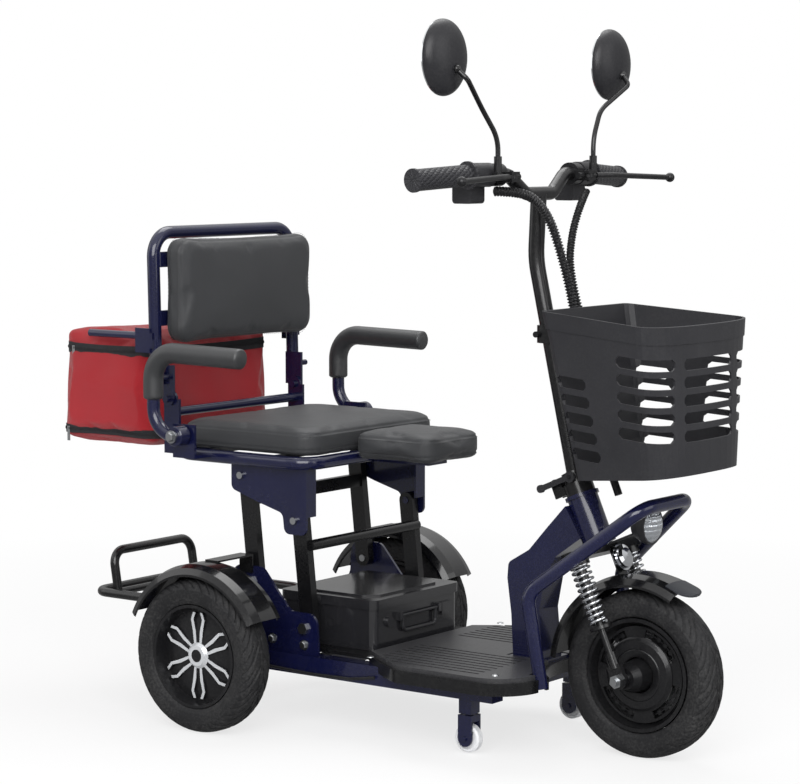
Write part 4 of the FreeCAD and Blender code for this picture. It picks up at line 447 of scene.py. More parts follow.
class Shape:
    """Points and faces of one piece, gathered from its surfaces."""

    def __init__(self):
        self.points = []
        self.faces = []
        self.count = 0

    def add(self, points, faces):
        """Take in a surface."""
        points = np.asarray(points, float).reshape(-1, 3)
        self.faces.extend((np.asarray(face) + self.count).tolist() for face in faces)
        self.points.append(points)
        self.count += len(points)
        return self

    def close_end(self, base, count, middle, order):
        """Fan a ring of points, which starts at base, in to a middle point."""
        ring = base + np.arange(count)
        fan = np.stack([np.full(count, self.count), ring, np.roll(ring, -1)], 1)[:, ::order]
        self.points.append(middle[None])
        self.count += 1
        self.faces.extend(fan.tolist())

    def tube(self, path, ring, up=(0, 0, 1)):
        """Carry a ring of offsets along a path: each section lies square to the path, and its
        first axis is the part of the up direction that is square to the path. The ring is one
        outline, or one outline for each point of the path. Both ends are closed."""
        path = np.asarray(path, float)
        ring = np.broadcast_to(np.asarray(ring, float), (len(path),) + np.shape(ring)[-2:])
        ahead = np.gradient(path, axis=0)
        ahead = ahead / np.linalg.norm(ahead, axis=1, keepdims=True)
        up = np.broadcast_to(np.asarray(up, float), path.shape)
        first = up - (up * ahead).sum(1, keepdims=True) * ahead
        first = first / np.linalg.norm(first, axis=1, keepdims=True)
        second = np.cross(ahead, first)
        grid = (path[:, None] + ring[..., :1] * first[:, None] + ring[..., 1:] * second[:, None])
        count = grid.shape[1]
        self.add(grid, quads(len(path), count))
        end = self.count
        self.close_end(end - len(path) * count, count, path[0], -1)
        self.close_end(end - count, count, path[-1], 1)
        return self

    def turned(self, centre, axis, profile, steps=32):
        """Turn a profile of (distance from the axis, height along it) round an axis."""
        axis = np.asarray(axis, float) / np.linalg.norm(axis)
        side = np.cross(axis, (1, 0, 0) if abs(axis[0]) < 0.9 else (0, 1, 0))
        side = side / np.linalg.norm(side)
        other = np.cross(axis, side)
        turn = np.linspace(0, 2 * np.pi, steps, endpoint=False)
        spoke = np.cos(turn)[:, None] * side + np.sin(turn)[:, None] * other
        profile = np.asarray(profile, float)
        grid = (np.asarray(centre, float) + profile[:, None, :1] * spoke[None]
                + profile[:, None, 1:] * axis)
        return self.add(grid, quads(len(profile), steps))

    def mesh(self, name):
        """The surfaces as one mesh."""
        mesh = bpy.data.meshes.new(name)
        mesh.from_pydata(np.concatenate(self.points).tolist(), [], self.faces)
        return mesh

    def piece(self, name, material, body, slot, smooth=35.0):
        """Put the surfaces into a mesh object that rides on a body."""
        mesh = self.mesh(name)
        mesh.validate()
        mesh.update()
        return settle(name, mesh, material, body, smooth)


def settle(name, mesh, material, body, smooth):
    """Link a mesh as a piece of the object, with outward faces and soft shading."""
    thing = bpy.data.objects.new(name, mesh)
    bpy.context.scene.collection.objects.link(thing)
    mesh.materials.append(material)
    outward(mesh)
    mesh.shade_smooth()
    if smooth:
        mesh.set_sharp_from_angle(angle=math.radians(smooth))
    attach(thing, body)
    return thing


def outward(mesh):
    """Turn the faces of a closed surface outwards."""
    work = bmesh.new()
    work.from_mesh(mesh)
    bmesh.ops.remove_doubles(work, verts=work.verts, dist=1e-7)
    bmesh.ops.recalc_face_normals(work, faces=work.faces)
    work.to_mesh(mesh)
    work.free()


def circle_ring(radius, count=20):
    """Offsets of a round section."""
    turn = np.linspace(0, 2 * np.pi, count, endpoint=False)
    return np.stack([np.cos(turn), np.sin(turn)], 1) * radius


def smooth_line(points, step=0.004, closed=False):
    """Quadratic B-spline through the middles of the runs between points, evenly sampled. It
    starts and ends at the first and last points."""
    points = np.asarray(points, float)
    if closed:
        points = np.concatenate([points, points[:2]])
        heads = (points[:-2] + points[1:-1]) / 2
        corners, tails = points[1:-1], (points[1:-1] + points[2:]) / 2
    else:
        middles = (points[:-1] + points[1:]) / 2
        heads = np.concatenate([points[:1], middles[1:-1]])
        corners, tails = points[1:-1], np.concatenate([middles[1:-1], points[-1:]])
    share = np.linspace(0, 1, 25)[None, :, None]
    bend = ((1 - share) ** 2 * heads[:, None] + 2 * share * (1 - share) * corners[:, None]
            + share ** 2 * tails[:, None])
    line = bend.reshape(-1, 3)
    keep = np.concatenate([[True], np.linalg.norm(np.diff(line, axis=0), axis=1) > 1e-7])
    line = line[keep]
    run = np.concatenate([[0], np.cumsum(np.linalg.norm(np.diff(line, axis=0), axis=1))])
    count = max(8, int(run[-1] / step))
    target = np.linspace(0, run[-1], count, endpoint=not closed)
    return np.stack([np.interp(target, run, line[:, axis]) for axis in range(3)], 1)


def rounded_path(points, radii, step=0.004):
    """Straight runs joined by tangent arcs, evenly sampled."""
    points = np.asarray(points, float)
    line = [points[:1]]
    for before, corner, after, radius in zip(points, points[1:], points[2:], radii):
        back = (before - corner) / np.linalg.norm(before - corner)
        ahead = (after - corner) / np.linalg.norm(after - corner)
        half = math.acos(float(np.clip(back @ ahead, -1, 1))) / 2
        centre = corner + (back + ahead) / np.linalg.norm(back + ahead) * radius / math.sin(half)
        first = corner + back * radius / math.tan(half) - centre
        last = corner + ahead * radius / math.tan(half) - centre
        share = np.linspace(0, 1, 17)[:, None]
        sweep = math.pi - 2 * half
        arc = (first * np.sin((1 - share) * sweep) + last * np.sin(share * sweep)) / math.sin(sweep)
        line.append(centre + arc)
    line = np.concatenate(line + [points[-1:]])
    run = np.concatenate([[0], np.cumsum(np.linalg.norm(np.diff(line, axis=0), axis=1))])
    target = np.linspace(0, run[-1], max(8, int(run[-1] / step)))
    return np.stack([np.interp(target, run, line[:, axis]) for axis in range(3)], 1)


def box_of(node):
    """Lowest and highest corner of a CAD piece, as arrays."""
    low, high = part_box(node)
    return np.array(low), np.array(high)


# ------------------------------------------------------------------ padded pieces
def pad_shell(low, high, flat, corners, edge, crown):
    """A stuffed slab: a plan with four corner radii, swept up a rounded edge profile.
    The plan point is the corner of an inner rectangle plus a turn of that corner's radius; the
    edge profile is a quarter turn at top and bottom, and both faces close to a middle point.
    flat is the axis the slab is thin along."""
    axes = [axis for axis in range(3) if axis != flat]
    half = (high - low) / 2
    middle = (high + low) / 2
    a, b = half[axes[0]], half[axes[1]]
    turn = np.concatenate([np.linspace(q, q + 1, 13) for q in range(4)]) * np.pi / 2
    radius = np.repeat(np.asarray(corners, float), 13)
    signs = np.repeat([[1, 1], [-1, 1], [-1, -1], [1, -1]], 13, 0)
    core = signs * (np.array([a, b]) - radius[:, None])
    spoke = np.stack([np.cos(turn), np.sin(turn)], 1)
    lift = np.linspace(0, 1, 7) * np.pi / 2
    reach = np.concatenate([np.linspace(0.05, 0.85, 6), np.ones(14), np.linspace(0.85, 0.05, 6)])
    inset = np.concatenate([np.ones(6), 1 - np.sin(lift), 1 - np.cos(lift), np.ones(6)]) * edge
    c = half[flat]
    level = np.concatenate([np.full(6, -c), -c + edge * (1 - np.cos(lift)),
                            c - edge + edge * np.sin(lift), np.full(6, c)])
    ring = core[None] + (radius[None, :, None] - inset[:, None, None]) * spoke[None]
    ring = ring * reach[:, None, None]
    bulge = crown * (1 - (ring[..., 0] / a) ** 2) * (1 - (ring[..., 1] / b) ** 2)
    grid = np.zeros(ring.shape[:2] + (3,))
    grid[..., axes[0]] = ring[..., 0]
    grid[..., axes[1]] = ring[..., 1]
    grid[..., flat] = level[:, None] + np.where(level[:, None] > 0, bulge, 0)
    return grid + middle


def closed_mesh(name, grid):
    """A mesh from a stack of rings whose first and last ring close to a point."""
    shape = Shape()
    rows, columns = grid.shape[:2]
    shape.add(grid, quads(rows, columns))
    shape.close_end(0, columns, grid[0].mean(0), -1)
    shape.close_end((rows - 1) * columns, columns, grid[-1].mean(0), 1)
    mesh = shape.mesh(name)
    outward(mesh)
    return mesh


def co_of(mesh):
    """Points of a mesh as an array."""
    co = np.empty(len(mesh.vertices) * 3)
    mesh.vertices.foreach_get("co", co)
    return co.reshape(-1, 3)


def set_co(mesh, co):
    """Write points back to a mesh."""
    mesh.vertices.foreach_set("co", np.asarray(co, float).ravel())
    mesh.update()


def evaluated(thing, name):
    """A new mesh with an object's modifiers applied."""
    graph = bpy.context.evaluated_depsgraph_get()
    mesh = bpy.data.meshes.new_from_object(thing.evaluated_get(graph))
    mesh.name = name
    return mesh


def inflate(mesh, voxel, pressure, cap, rest=None):
    """Remesh a closed shell evenly, blow it up as cloth, and limit how far each point moves.
    rest is an axis and a level that the piece lies flat on."""
    thing = bpy.data.objects.new("Inflating", mesh)
    bpy.context.scene.collection.objects.link(thing)
    even = thing.modifiers.new("Even", "REMESH")
    even.mode = "VOXEL"
    even.voxel_size = voxel
    fine = evaluated(thing, mesh.name + "_even")
    thing.modifiers.clear()
    thing.data = fine
    start = co_of(fine)
    cloth = thing.modifiers.new("Cloth", "CLOTH")
    cloth.settings.use_pressure = True
    cloth.settings.uniform_pressure_force = pressure
    cloth.settings.effector_weights.gravity = 0
    cloth.collision_settings.use_collision = False
    cloth.point_cache.frame_start, cloth.point_cache.frame_end = 1, 20
    for step in range(1, 21):
        bpy.context.scene.frame_set(step)
    blown = evaluated(thing, mesh.name + "_blown")
    moved = co_of(blown) - start
    length = np.linalg.norm(moved, axis=1, keepdims=True)
    start = start + moved * np.minimum(1, cap / np.maximum(length, 1e-9))
    bpy.context.scene.frame_set(1)
    thing.modifiers.clear()
    if rest:
        axis, level = rest
        start[:, axis] = np.maximum(start[:, axis], level)
    set_co(fine, start)
    smooth = thing.modifiers.new("Finer", "SUBSURF")
    smooth.levels = smooth.render_levels = 1
    done = evaluated(thing, mesh.name + "_fine")
    bpy.data.objects.remove(thing)
    return done


def press_seams(mesh, flat, levels, depth, width=0.0017):
    """Sink a sewn line into the side wall at each level: the wall moves inwards by a bell curve
    of its distance from the line."""
    co = co_of(mesh)
    normal = np.empty(len(co) * 3)
    mesh.vertices.foreach_get("normal", normal)
    normal = normal.reshape(-1, 3)
    side = np.sqrt(np.maximum(0, 1 - normal[:, flat] ** 2))[:, None]
    for level in levels:
        bell = np.exp(-((co[:, flat] - level) / width) ** 2)[:, None]
        co -= normal * bell * depth * side
    set_co(mesh, co)


def side_loop(mesh, flat, level, step):
    """Points round a slab's side wall at a level, evenly spaced, with their outward directions."""
    co = co_of(mesh)
    axes = [axis for axis in range(3) if axis != flat]
    near = co[np.abs(co[:, flat] - level) < 0.004]
    middle = (near.max(0) + near.min(0)) / 2
    angle = np.arctan2(near[:, axes[1]] - middle[axes[1]], near[:, axes[0]] - middle[axes[0]])
    bins = np.linspace(-np.pi, np.pi, 181)
    which = np.digitize(angle, bins) - 1
    reach = np.linalg.norm(near[:, axes] - middle[axes], axis=1)
    far = np.zeros(180)
    np.maximum.at(far, np.clip(which, 0, 179), reach)
    centre = (bins[:-1] + bins[1:]) / 2
    filled = far > 0
    far = np.interp(centre, centre[filled], far[filled], period=2 * np.pi)
    line = np.zeros((180, 3))
    line[:, axes[0]] = middle[axes[0]] + np.cos(centre) * far
    line[:, axes[1]] = middle[axes[1]] + np.sin(centre) * far
    line[:, flat] = level
    closed = np.concatenate([line, line[:1]])
    run = np.concatenate([[0], np.cumsum(np.linalg.norm(np.diff(closed, axis=0), axis=1))])
    target = np.arange(0, run[-1], step)
    spots = np.stack([np.interp(target, run, closed[:, axis]) for axis in range(3)], 1)
    ahead = np.roll(spots, -1, 0) - np.roll(spots, 1, 0)
    ahead /= np.linalg.norm(ahead, axis=1, keepdims=True)
    up = np.zeros(3)
    up[flat] = 1
    out = np.cross(ahead, up)
    sign = np.sign(((spots - middle) * out).sum(1).mean())
    return spots, ahead, out * sign


def stitches(name, spots, ahead, out, length, body, slot, radius=0.0004, material="Thread"):
    """A row of short threads: a ball stretched along the seam, copied to every spot."""
    turn = np.linspace(0, 2 * np.pi, 6, endpoint=False)[None, None, :, None]
    lift = np.linspace(-0.85, 0.85, 5)
    width = np.sqrt(1 - lift ** 2)[None, :, None, None]
    up = np.cross(ahead, out)[:, None, None]
    ahead, out = ahead[:, None, None], out[:, None, None]
    grid = (spots[:, None, None] + ahead * (lift * length / 2)[None, :, None, None]
            + radius * width * (np.cos(turn) * out + np.sin(turn) * up))
    ends = np.array([[0, 1, 2, 3], [0, 3, 4, 5], [24, 27, 26, 25], [24, 29, 28, 27]])
    each = np.concatenate([quads(5, 6), ends])
    starts = np.arange(len(spots)) * 30
    shape = Shape().add(grid, (each[None] + starts[:, None, None]).reshape(-1, 4))
    return shape.piece(name, finish_named(material), body, slot)


def cushion(name, node, body, flat, corners, edge, crown, cap, seams):
    """Upholstered cushion in the space of its CAD block, with pressed seams and stitching. It
    lies flat on the block's low side; cap is how far the cloth may swell, and seams are the
    depths of the sewn lines below the high side."""
    low, high = box_of(node)
    inset = np.full(3, cap * 0.1)
    inset[flat] = 0
    top = np.zeros(3)
    top[flat] = crown + cap * 0.15
    grid = pad_shell(low + inset, high - inset - top, flat, corners, edge, crown)
    mesh = inflate(closed_mesh(name, grid), voxel=0.0048, pressure=4.0, cap=cap,
                   rest=(flat, low[flat]))
    levels = [high[flat] - drop for drop in seams]
    press_seams(mesh, flat, levels, sizes().seam_depth)
    mesh.name = name
    thing = settle(name, mesh, finish_named("Leatherette"), body, 0)
    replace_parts(thing, node)
    for index, level in enumerate(levels):
        spots, ahead, out = side_loop(mesh, flat, level - 0.0032, sizes().stitch_length * 1.35)
        stitches("%s_stitches_%d" % (name, index + 1), spots + out * 0.0001, ahead, out,
                 sizes().stitch_length, body, "leather")
    return thing


def cloth_map(thing, axis_pairs):
    """A UV map in metres, laid on each face from the side it faces most."""
    mesh = thing.data
    layer = mesh.uv_layers.new(name="Cloth")
    count = len(mesh.loops)
    index = np.empty(count, int)
    mesh.loops.foreach_get("vertex_index", index)
    co = co_of(mesh)[index]
    total = np.empty(len(mesh.polygons), int)
    mesh.polygons.foreach_get("loop_total", total)
    normal = np.empty(len(mesh.polygons) * 3)
    mesh.polygons.foreach_get("normal", normal)
    normal = np.abs(np.repeat(normal.reshape(-1, 3), total, 0))
    side = normal.argmax(1)
    uv = np.zeros((count, 2))
    for axis, (first, second) in enumerate(axis_pairs):
        chosen = side == axis
        uv[chosen, 0] = co[chosen, first]
        uv[chosen, 1] = co[chosen, second]
    layer.data.foreach_set("uv", uv.ravel())


def paint(node, material):
    """Give a CAD piece its material."""
    NODES[node].material_slots[0].material = material


# ------------------------------------------------------------------ operators
class SCOOTER_OT_finishes(bpy.types.Operator):
    """Give every rigid piece of the frame its material"""
    bl_idname = "scooter.finishes"
    bl_label = "Finish rigid pieces"

    def execute(self, context):
        rows = {
            "Navy lacquer": "base_frame side_plates neck_frame head_tube bumper_guard "
                            "anti_tip_posts backrest_frame",
            "Black lacquer": "deck_pan rear_rack fork_crown fork_rods fold_socket steering_column "
                             "mirror_stems front_legs rear_legs",
            "Battery plastic": "battery_case",
            "Gloss plastic": "rear_fender_right rear_fender_left front_fender",
            "Satin plastic": "battery_handle headlamp_shell fold_lever throttle_housing "
                             "switch_housing horn_button light_switch",
            "Basket plastic": "basket",
            "White plastic": "caster_wheel_right caster_wheel_left",
            "Deck rubber": "floor_mat",
            "Cable wrap": "frame_lead",
            "Zinc": "frame_bolts front_axle brake_disc",
            "Chrome": "horn",
            "Black alloy": "front_rim brake_caliper lever_perches brake_lever_right "
                           "brake_lever_left",
        }
        for finish, names in rows.items():
            for name in names.split():
                paint(name, finish_named(finish))
        self.hubs()
        self.grips()
        self.mirrors()
        self.seat_pins()
        paint("headlamp_lens", ribbed_lens())
        return {"FINISHED"}

    def hubs(self):
        """Black hub covers with bright ribs and a bright centre ring."""
        rib_depth, rib_reach, axle_radius = 0.0177, 0.0775, 0.0105
        for side in SIDES:
            low, high = box_of("rear_tyre_" + side)
            middle = (low + high) / 2
            face = np.abs([low[1], high[1]]).max() - rib_depth

            def mask(tree, middle=middle, face=face):
                raised = beyond(tree, 1, face, True)
                radius = distance_from(tree, middle, (1, 0, 1))
                inside = math_of(tree, "LESS_THAN", radius, rib_reach)
                outside = math_of(tree, "GREATER_THAN", radius, axle_radius)
                band = math_of(tree, "MULTIPLY", inside, outside)
                return math_of(tree, "MULTIPLY", raised, band)
            finish = make_finish("Hub cover " + side, linear(24, 24, 26), 0.3, 900, 0.15)
            paint("rear_hub_" + side,
                  painted_by(finish, mask, linear(212, 214, 217), 0.26, 0.35))

    def grips(self):
        """Rubber grips with a diamond pattern that follows each grip's own axis."""
        back, out, down = 0.1465, 0.9877, 0.0567
        for node in ("throttle_grip", "left_grip"):
            low, high = box_of(node)
            middle = (low + high) / 2
            direction = (-back, np.sign(middle[1]) * out, -down)
            paint(node, make_finish("Grip " + node, shade(colours().plastic, 1.5), 0.42, 0.0, 0.7,
                                    0.0018, 0.1, "knurl", aligned_to(middle, direction)))

    def mirrors(self):
        """Black shells with a bright pane on the rider's side."""
        pane_depth = 0.0024
        for side in SIDES:
            low = box_of("mirror_" + side)[0]

            def mask(tree, edge=low[0] + pane_depth):
                return math_of(tree, "LESS_THAN", axis_value(tree, 0), edge)
            finish = make_finish("Mirror " + side, colours().plastic, 0.36, 900, 0.2)
            paint("mirror_" + side, painted_by(finish, mask, linear(225, 228, 230), 0.03, 1.0))

    def seat_pins(self):
        """Bright heads on the linkage pins and the armrest pins, bare metal on the navy frame.
        The linkage heads stand proud of the legs, under the cushion's linkage height; the armrest
        pins are what lies furthest out."""
        head_start, head_height, arm_pin, under_seat = 0.0097, 0.0065, 0.0056, 0.0185
        outer = box_of("front_legs")[1][1] + head_start
        arm = box_of("seat_frame")[1][1] - arm_pin
        level = box_of("seat_cushion")[0][2] - under_seat

        def mask(tree):
            below = math_of(tree, "LESS_THAN", axis_value(tree, 2), level)
            aside = math_of(tree, "ABSOLUTE", axis_value(tree, 1))
            near = math_of(tree, "LESS_THAN", aside, outer + head_height)
            pins = math_of(tree, "MULTIPLY", beyond(tree, 1, outer, True),
                           math_of(tree, "MULTIPLY", below, near))
            return math_of(tree, "MAXIMUM", pins, beyond(tree, 1, arm, True))
        finish = made_from("Navy lacquer", "Navy seat frame")
        paint("seat_frame", painted_by(finish, mask, linear(190, 192, 195), 0.25, 1.0))


class SCOOTER_OT_cushions(bpy.types.Operator):
    """Make the seat cushion, the front pad and the backrest cushion"""
    bl_idname = "scooter.cushions"
    bl_label = "Make cushions"

    def execute(self, context):
        cushion("Seat_cushion", "seat_cushion", "seat", flat=2, corners=(0.038, 0.03, 0.03, 0.038),
                edge=0.011, crown=0.005, cap=0.006, seams=(0.011, 0.037))
        cushion("Front_pad", "front_pad", "seat", flat=2, corners=(0.026, 0.016, 0.016, 0.026),
                edge=0.010, crown=0.003, cap=0.004, seams=(0.01, 0.037))
        cushion("Backrest_cushion", "backrest_cushion", "backrest", flat=0, corners=(0.03,) * 4,
                edge=0.012, crown=0.006, cap=0.006, seams=(0.012, 0.034))
        return {"FINISHED"}


class SCOOTER_OT_bag(bpy.types.Operator):
    """Make the red bag with its zip bands"""
    bl_idname = "scooter.bag"
    bl_label = "Make bag"

    def execute(self, context):
        low, high = box_of("bag")
        inset = np.array([0.003, 0.003, 0.004])
        grid = pad_shell(low + inset, high - inset, flat=2, corners=(0.016,) * 4, edge=0.012,
                         crown=0.0)
        mesh = inflate(closed_mesh("Bag", grid), voxel=0.005, pressure=1.6, cap=0.006)
        self.sag(mesh, low, high)
        bag = settle("Bag", mesh, finish_named("Bag cloth"), "backrest", 0)
        cloth_map(bag, SIDE_AXES)
        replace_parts(bag, "bag")
        for index, level in enumerate((high[2] - 0.036, low[2] + 0.021)):
            self.zip_band(mesh, level, index)
        return {"FINISHED"}

    def sag(self, mesh, low, high):
        """Hang the cloth: the side walls lean in at the top and swell low down, slow waves crease
        them, the top sinks between its corners, and the floor swells downwards."""
        co = co_of(mesh)
        share = np.clip((co - low) / (high - low), 0, 1)
        centre = (low + high) / 2
        around = (co - centre) / (high - low) * 2
        x, y, z = co.T.copy()
        wave = (0.5 * np.sin(y * 47 + z * 19) + 0.3 * np.sin(x * 71 - z * 37)
                + 0.2 * np.sin(z * 150 + y * 36 + x * 22))
        lean = 0.007 * np.sin(np.pi * np.clip(share[:, 2] * 1.25, 0, 1)) - 0.011 * share[:, 2] ** 3
        fold = 0.0022 * wave * np.sin(np.pi * share[:, 2])
        near_wall = np.sign(around) * np.clip(np.abs(around) * 4 - 3, 0, 1)
        co[:, 1] += near_wall[:, 1] * (lean + fold)
        wall = np.sin(np.pi * share[:, 1]) * np.sin(np.pi * share[:, 2])
        co[:, 0] -= near_wall[:, 0] * (0.007 * wall + fold)
        across = np.sin(np.pi * share[:, 0]) * np.sin(np.pi * share[:, 1])
        ripple = np.sin(co[:, 0] * 52 + 1.2) * 0.0035 + np.sin(co[:, 1] * 31) * 0.002
        sink = 0.013 * across + ripple * np.sin(np.pi * share[:, 0])
        co[:, 2] -= np.where(share[:, 2] > 0.85, sink, 0)
        co[:, 2] += np.where(share[:, 2] < 0.12, 0.0025 * wave * across, 0)
        set_co(mesh, np.clip(co, low - [0.003, 0.008, 0.002], high + [0.0, 0.008, 0.003]))

    def zip_band(self, mesh, level, index):
        """A flat tape with a row of teeth and a slider, carried round the bag at a level."""
        spots, _, out = side_loop(mesh, 2, level, 0.008)
        spots = self.droop(spots, mesh, index)
        width, thick, under = 0.0095 - 0.002 * index, 0.0009, 0.0006
        outline = np.array([[-width, -under], [width, -under], [width, thick], [-width, thick]])
        up = np.array([0, 0, 1.0])
        grid = spots[:, None] + outline[None, :, :1] * up + outline[None, :, 1:] * out[:, None]
        shape = Shape().add(grid, quads(len(spots), 4, True, True))
        number = str(index + 1)
        tape = shape.piece("Bag_zip_tape_" + number, finish_named("Zip tape"), "backrest",
                           "red_fabric")
        cloth_map(tape, SIDE_AXES)
        fine, _, fine_out = side_loop(mesh, 2, level, 0.003)
        fine = self.droop(fine, mesh, index)
        stitches("Bag_zip_teeth_" + number, fine + fine_out * 0.0013,
                 np.broadcast_to(up, fine.shape), fine_out, 0.0055, "backrest", "red_fabric",
                 0.0009, "Zip tape")
        near = int(np.argmin(spots[:, 1] + spots[:, 0] * 0.2))
        start = spots[near] + fine_out[near] * 0.003
        strip = np.array([[0, 0.003], [0.0011, 0.003], [0.0011, -0.003], [0, -0.003]])
        pull = Shape().tube(np.linspace(start + [0, 0, 0.004], start - [0, 0, 0.022], 6), strip,
                            (0, -1, 0))
        pull.piece("Bag_zip_pull_" + number, finish_named("Zinc"), "backrest", "red_fabric")

    def droop(self, spots, mesh, index):
        """Let a band fall between the corners by a half wave along each wall."""
        low, high = spots.min(0), spots.max(0)
        share = (spots - low) / np.maximum(high - low, 1e-6)
        fall = np.sin(np.pi * share[:, 0]) * 0.5 + np.sin(np.pi * share[:, 1]) * 0.5
        spots = spots.copy()
        spots[:, 2] -= (0.006 - 0.009 * index) * fall
        return spots


class SCOOTER_OT_armrests(bpy.types.Operator):
    """Make the foam armrests on their bent tubes"""
    bl_idname = "scooter.armrests"
    bl_label = "Make armrests"

    def execute(self, context):
        """The foam's radius shrinks to the tube over a quarter round at each end."""
        foam, bend, bore, step = 0.017, 0.046, 0.0062, 0.0025
        for side in SIDES:
            node, body = "armrest_" + side, "arm_" + side
            low, high = box_of(node)
            y = (low[1] + high[1]) / 2
            rear, top, end = low[0] + foam, high[2] - foam, high[0]
            pivot = np.array([rear + 0.055, y, low[2] + foam])
            route = [pivot, (rear, y, pivot[2] - 0.002), (rear, y, top),
                     (end - 0.006, y, top - 0.004)]
            tube = Shape().tube(rounded_path(route, (0.044, bend), 0.003),
                                circle_ring(0.011, 28), (0, 1, 0))
            tube.turned(pivot - [0, 0.012, 0], (0, 1, 0),
                        [(bore, 0), (0.0155, 0), (foam, 0.0015), (foam, 0.0225),
                         (0.0155, 0.024), (bore, 0.024), (bore, 0)], 40)
            tube = tube.piece("Armrest_tube_" + side, finish_named("Navy lacquer"), body, "foam")
            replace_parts(tube, node)
            sleeve = rounded_path([(rear, y, pivot[2] + 0.059), (rear, y, top),
                                   (end, y, top - 0.004)], (bend,), step)
            run = np.linspace(0, 1, len(sleeve))
            from_end = np.minimum(run, 1 - run) * step * len(sleeve)
            soft = np.sqrt(np.clip(1 - (1 - np.clip(from_end / 0.004, 0, 1)) ** 2, 0, 1))
            radius = 0.0138 + 0.0032 * soft
            ring = circle_ring(1.0, 40)[None] * radius[:, None, None]
            sleeve = Shape().tube(sleeve, ring, (0, 1, 0))
            sleeve = sleeve.piece("Armrest_foam_" + side, finish_named("Foam"), body, "foam", 50)
        return {"FINISHED"}


class SCOOTER_OT_tyres(bpy.types.Operator):
    """Make the three treaded tyres"""
    bl_idname = "scooter.tyres"
    bl_label = "Make tyres"

    def execute(self, context):
        for node, body in (("rear_tyre_right", "rear_wheel_right"),
                           ("rear_tyre_left", "rear_wheel_left"), ("front_tyre", "front_wheel")):
            self.tyre(node, body)
        return {"FINISHED"}

    def tyre(self, node, body):
        """A closed section of (side, radius) from a periodic B-spline, turned about the axle. Its
        tread sinks where a saw-tooth of the turn plus a curve across the tread is near zero, with
        long and short grooves in turn, and along two waved rings beside the middle."""
        low, high = box_of(node)
        centre = (low + high) / 2
        outer = (high[2] - low[2]) / 2
        half = (high[1] - low[1]) / 2
        bead = outer - 0.0425
        wall = np.array([(0.5, bead + 0.002), (0.86, bead), (1.0, bead + 0.012),
                         (1.04, bead + 0.022), (0.98, outer - 0.012), (0.78, outer - 0.0035),
                         (0.4, outer + 0.0004)])
        sketch = np.concatenate([wall * (-1, 1), [(0, outer + 0.0005)], wall[::-1]])
        points = np.stack([sketch[:, 0] * half, sketch[:, 1], sketch[:, 0] * 0], 1)
        section = smooth_line(points, 0.0016, True)
        side, radius = section[:, 0], section[:, 1]
        steps = 900
        turn = np.linspace(0, 2 * np.pi, steps, endpoint=False)[:, None]
        blocks = sizes().tread_blocks
        share = (side / half)[None]
        tread = np.clip((radius - outer + 0.017) / 0.004, 0, 1)[None]
        place = turn * blocks / (2 * np.pi) + np.where(share > 0, 0.5, 0.0)
        curve = 1.5 * np.abs(share) ** 1.3
        groove = np.zeros((steps, len(side)))
        for shift, wide, start, end in ((0.0, 0.085, 0.16, 1.1), (0.5, 0.05, 0.5, 0.98)):
            saw = (place + curve + shift) % 1
            line = np.exp(-(np.minimum(saw, 1 - saw) / wide) ** 4)
            inner = np.clip((np.abs(share) - start) / 0.05, 0, 1)
            outside = np.clip((end - np.abs(share)) / 0.05, 0, 1)
            groove = np.maximum(groove, line * (inner * outside))
        ring = np.exp(-((np.abs(share) - 0.13 - 0.03 * np.sin(turn * blocks)) / 0.035) ** 4)
        groove = np.maximum(groove, ring) * tread
        rib = 0.0006 * (np.exp(-((radius - bead - 0.009) / 0.0012) ** 2)
                        + np.exp(-((radius - outer + 0.016) / 0.0012) ** 2))[None]
        deep = radius[None] - sizes().tread_depth * groove
        wide = side[None] + np.sign(side)[None] * rib
        grid = np.stack([deep * np.cos(turn), np.broadcast_to(wide, deep.shape),
                         deep * np.sin(turn)], -1)
        shape = Shape().add(grid + centre, quads(steps, len(side), True, True))
        name = node.capitalize()
        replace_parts(shape.piece(name, finish_named("Tyre rubber"), body, "tyre", 40), node)


class SCOOTER_OT_springs(bpy.types.Operator):
    """Make the chrome coil springs of the fork"""
    bl_idname = "scooter.springs"
    bl_label = "Make fork springs"

    def execute(self, context):
        joint = next(joint for joint in frame["record"]["behaviour"]["joints"]
                     if joint["name"] == "fork_travel")
        axis = np.array(joint["axis"], float)
        axis /= np.linalg.norm(axis)
        low, high = box_of("fork_springs")
        hub = (box_of("front_tyre")[0] + box_of("front_tyre")[1]) / 2
        wire = sizes().wire_radius
        seat, apart, coil = 0.0062, 0.075, 0.014
        bottom = (low[2] - hub[2] + seat) / axis[2]
        top = (high[2] - hub[2] - seat) / axis[2]
        turns = sizes().spring_turns
        run = np.linspace(0, 1, turns * 44)
        turn = run * 2 * np.pi * turns
        flat = np.clip((np.minimum(run, 1 - run) * turns - 0.3) / 0.7, 0, 1)
        rate = np.concatenate([[0], np.cumsum(0.35 + 0.65 * flat)[:-1]])
        rise = rate / rate[-1]
        forward = np.array([axis[2], 0, -axis[0]])
        for side in (-1, 1):
            centre = hub + [0, side * apart, 0]
            round_axis = (np.cos(turn)[:, None] * forward
                          + np.sin(turn)[:, None] * np.array([0, 1, 0]))
            path = (centre + axis * (bottom + rise * (top - bottom))[:, None]
                    + coil * round_axis)
            name = "Fork_spring_" + ("right" if side < 0 else "left")
            spring = Shape().tube(path, circle_ring(wire, 12), axis).piece(
                name, finish_named("Chrome"), "steering", "chrome", 60)
            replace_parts(spring, "fork_springs")
            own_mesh(spring)
        return {"FINISHED"}


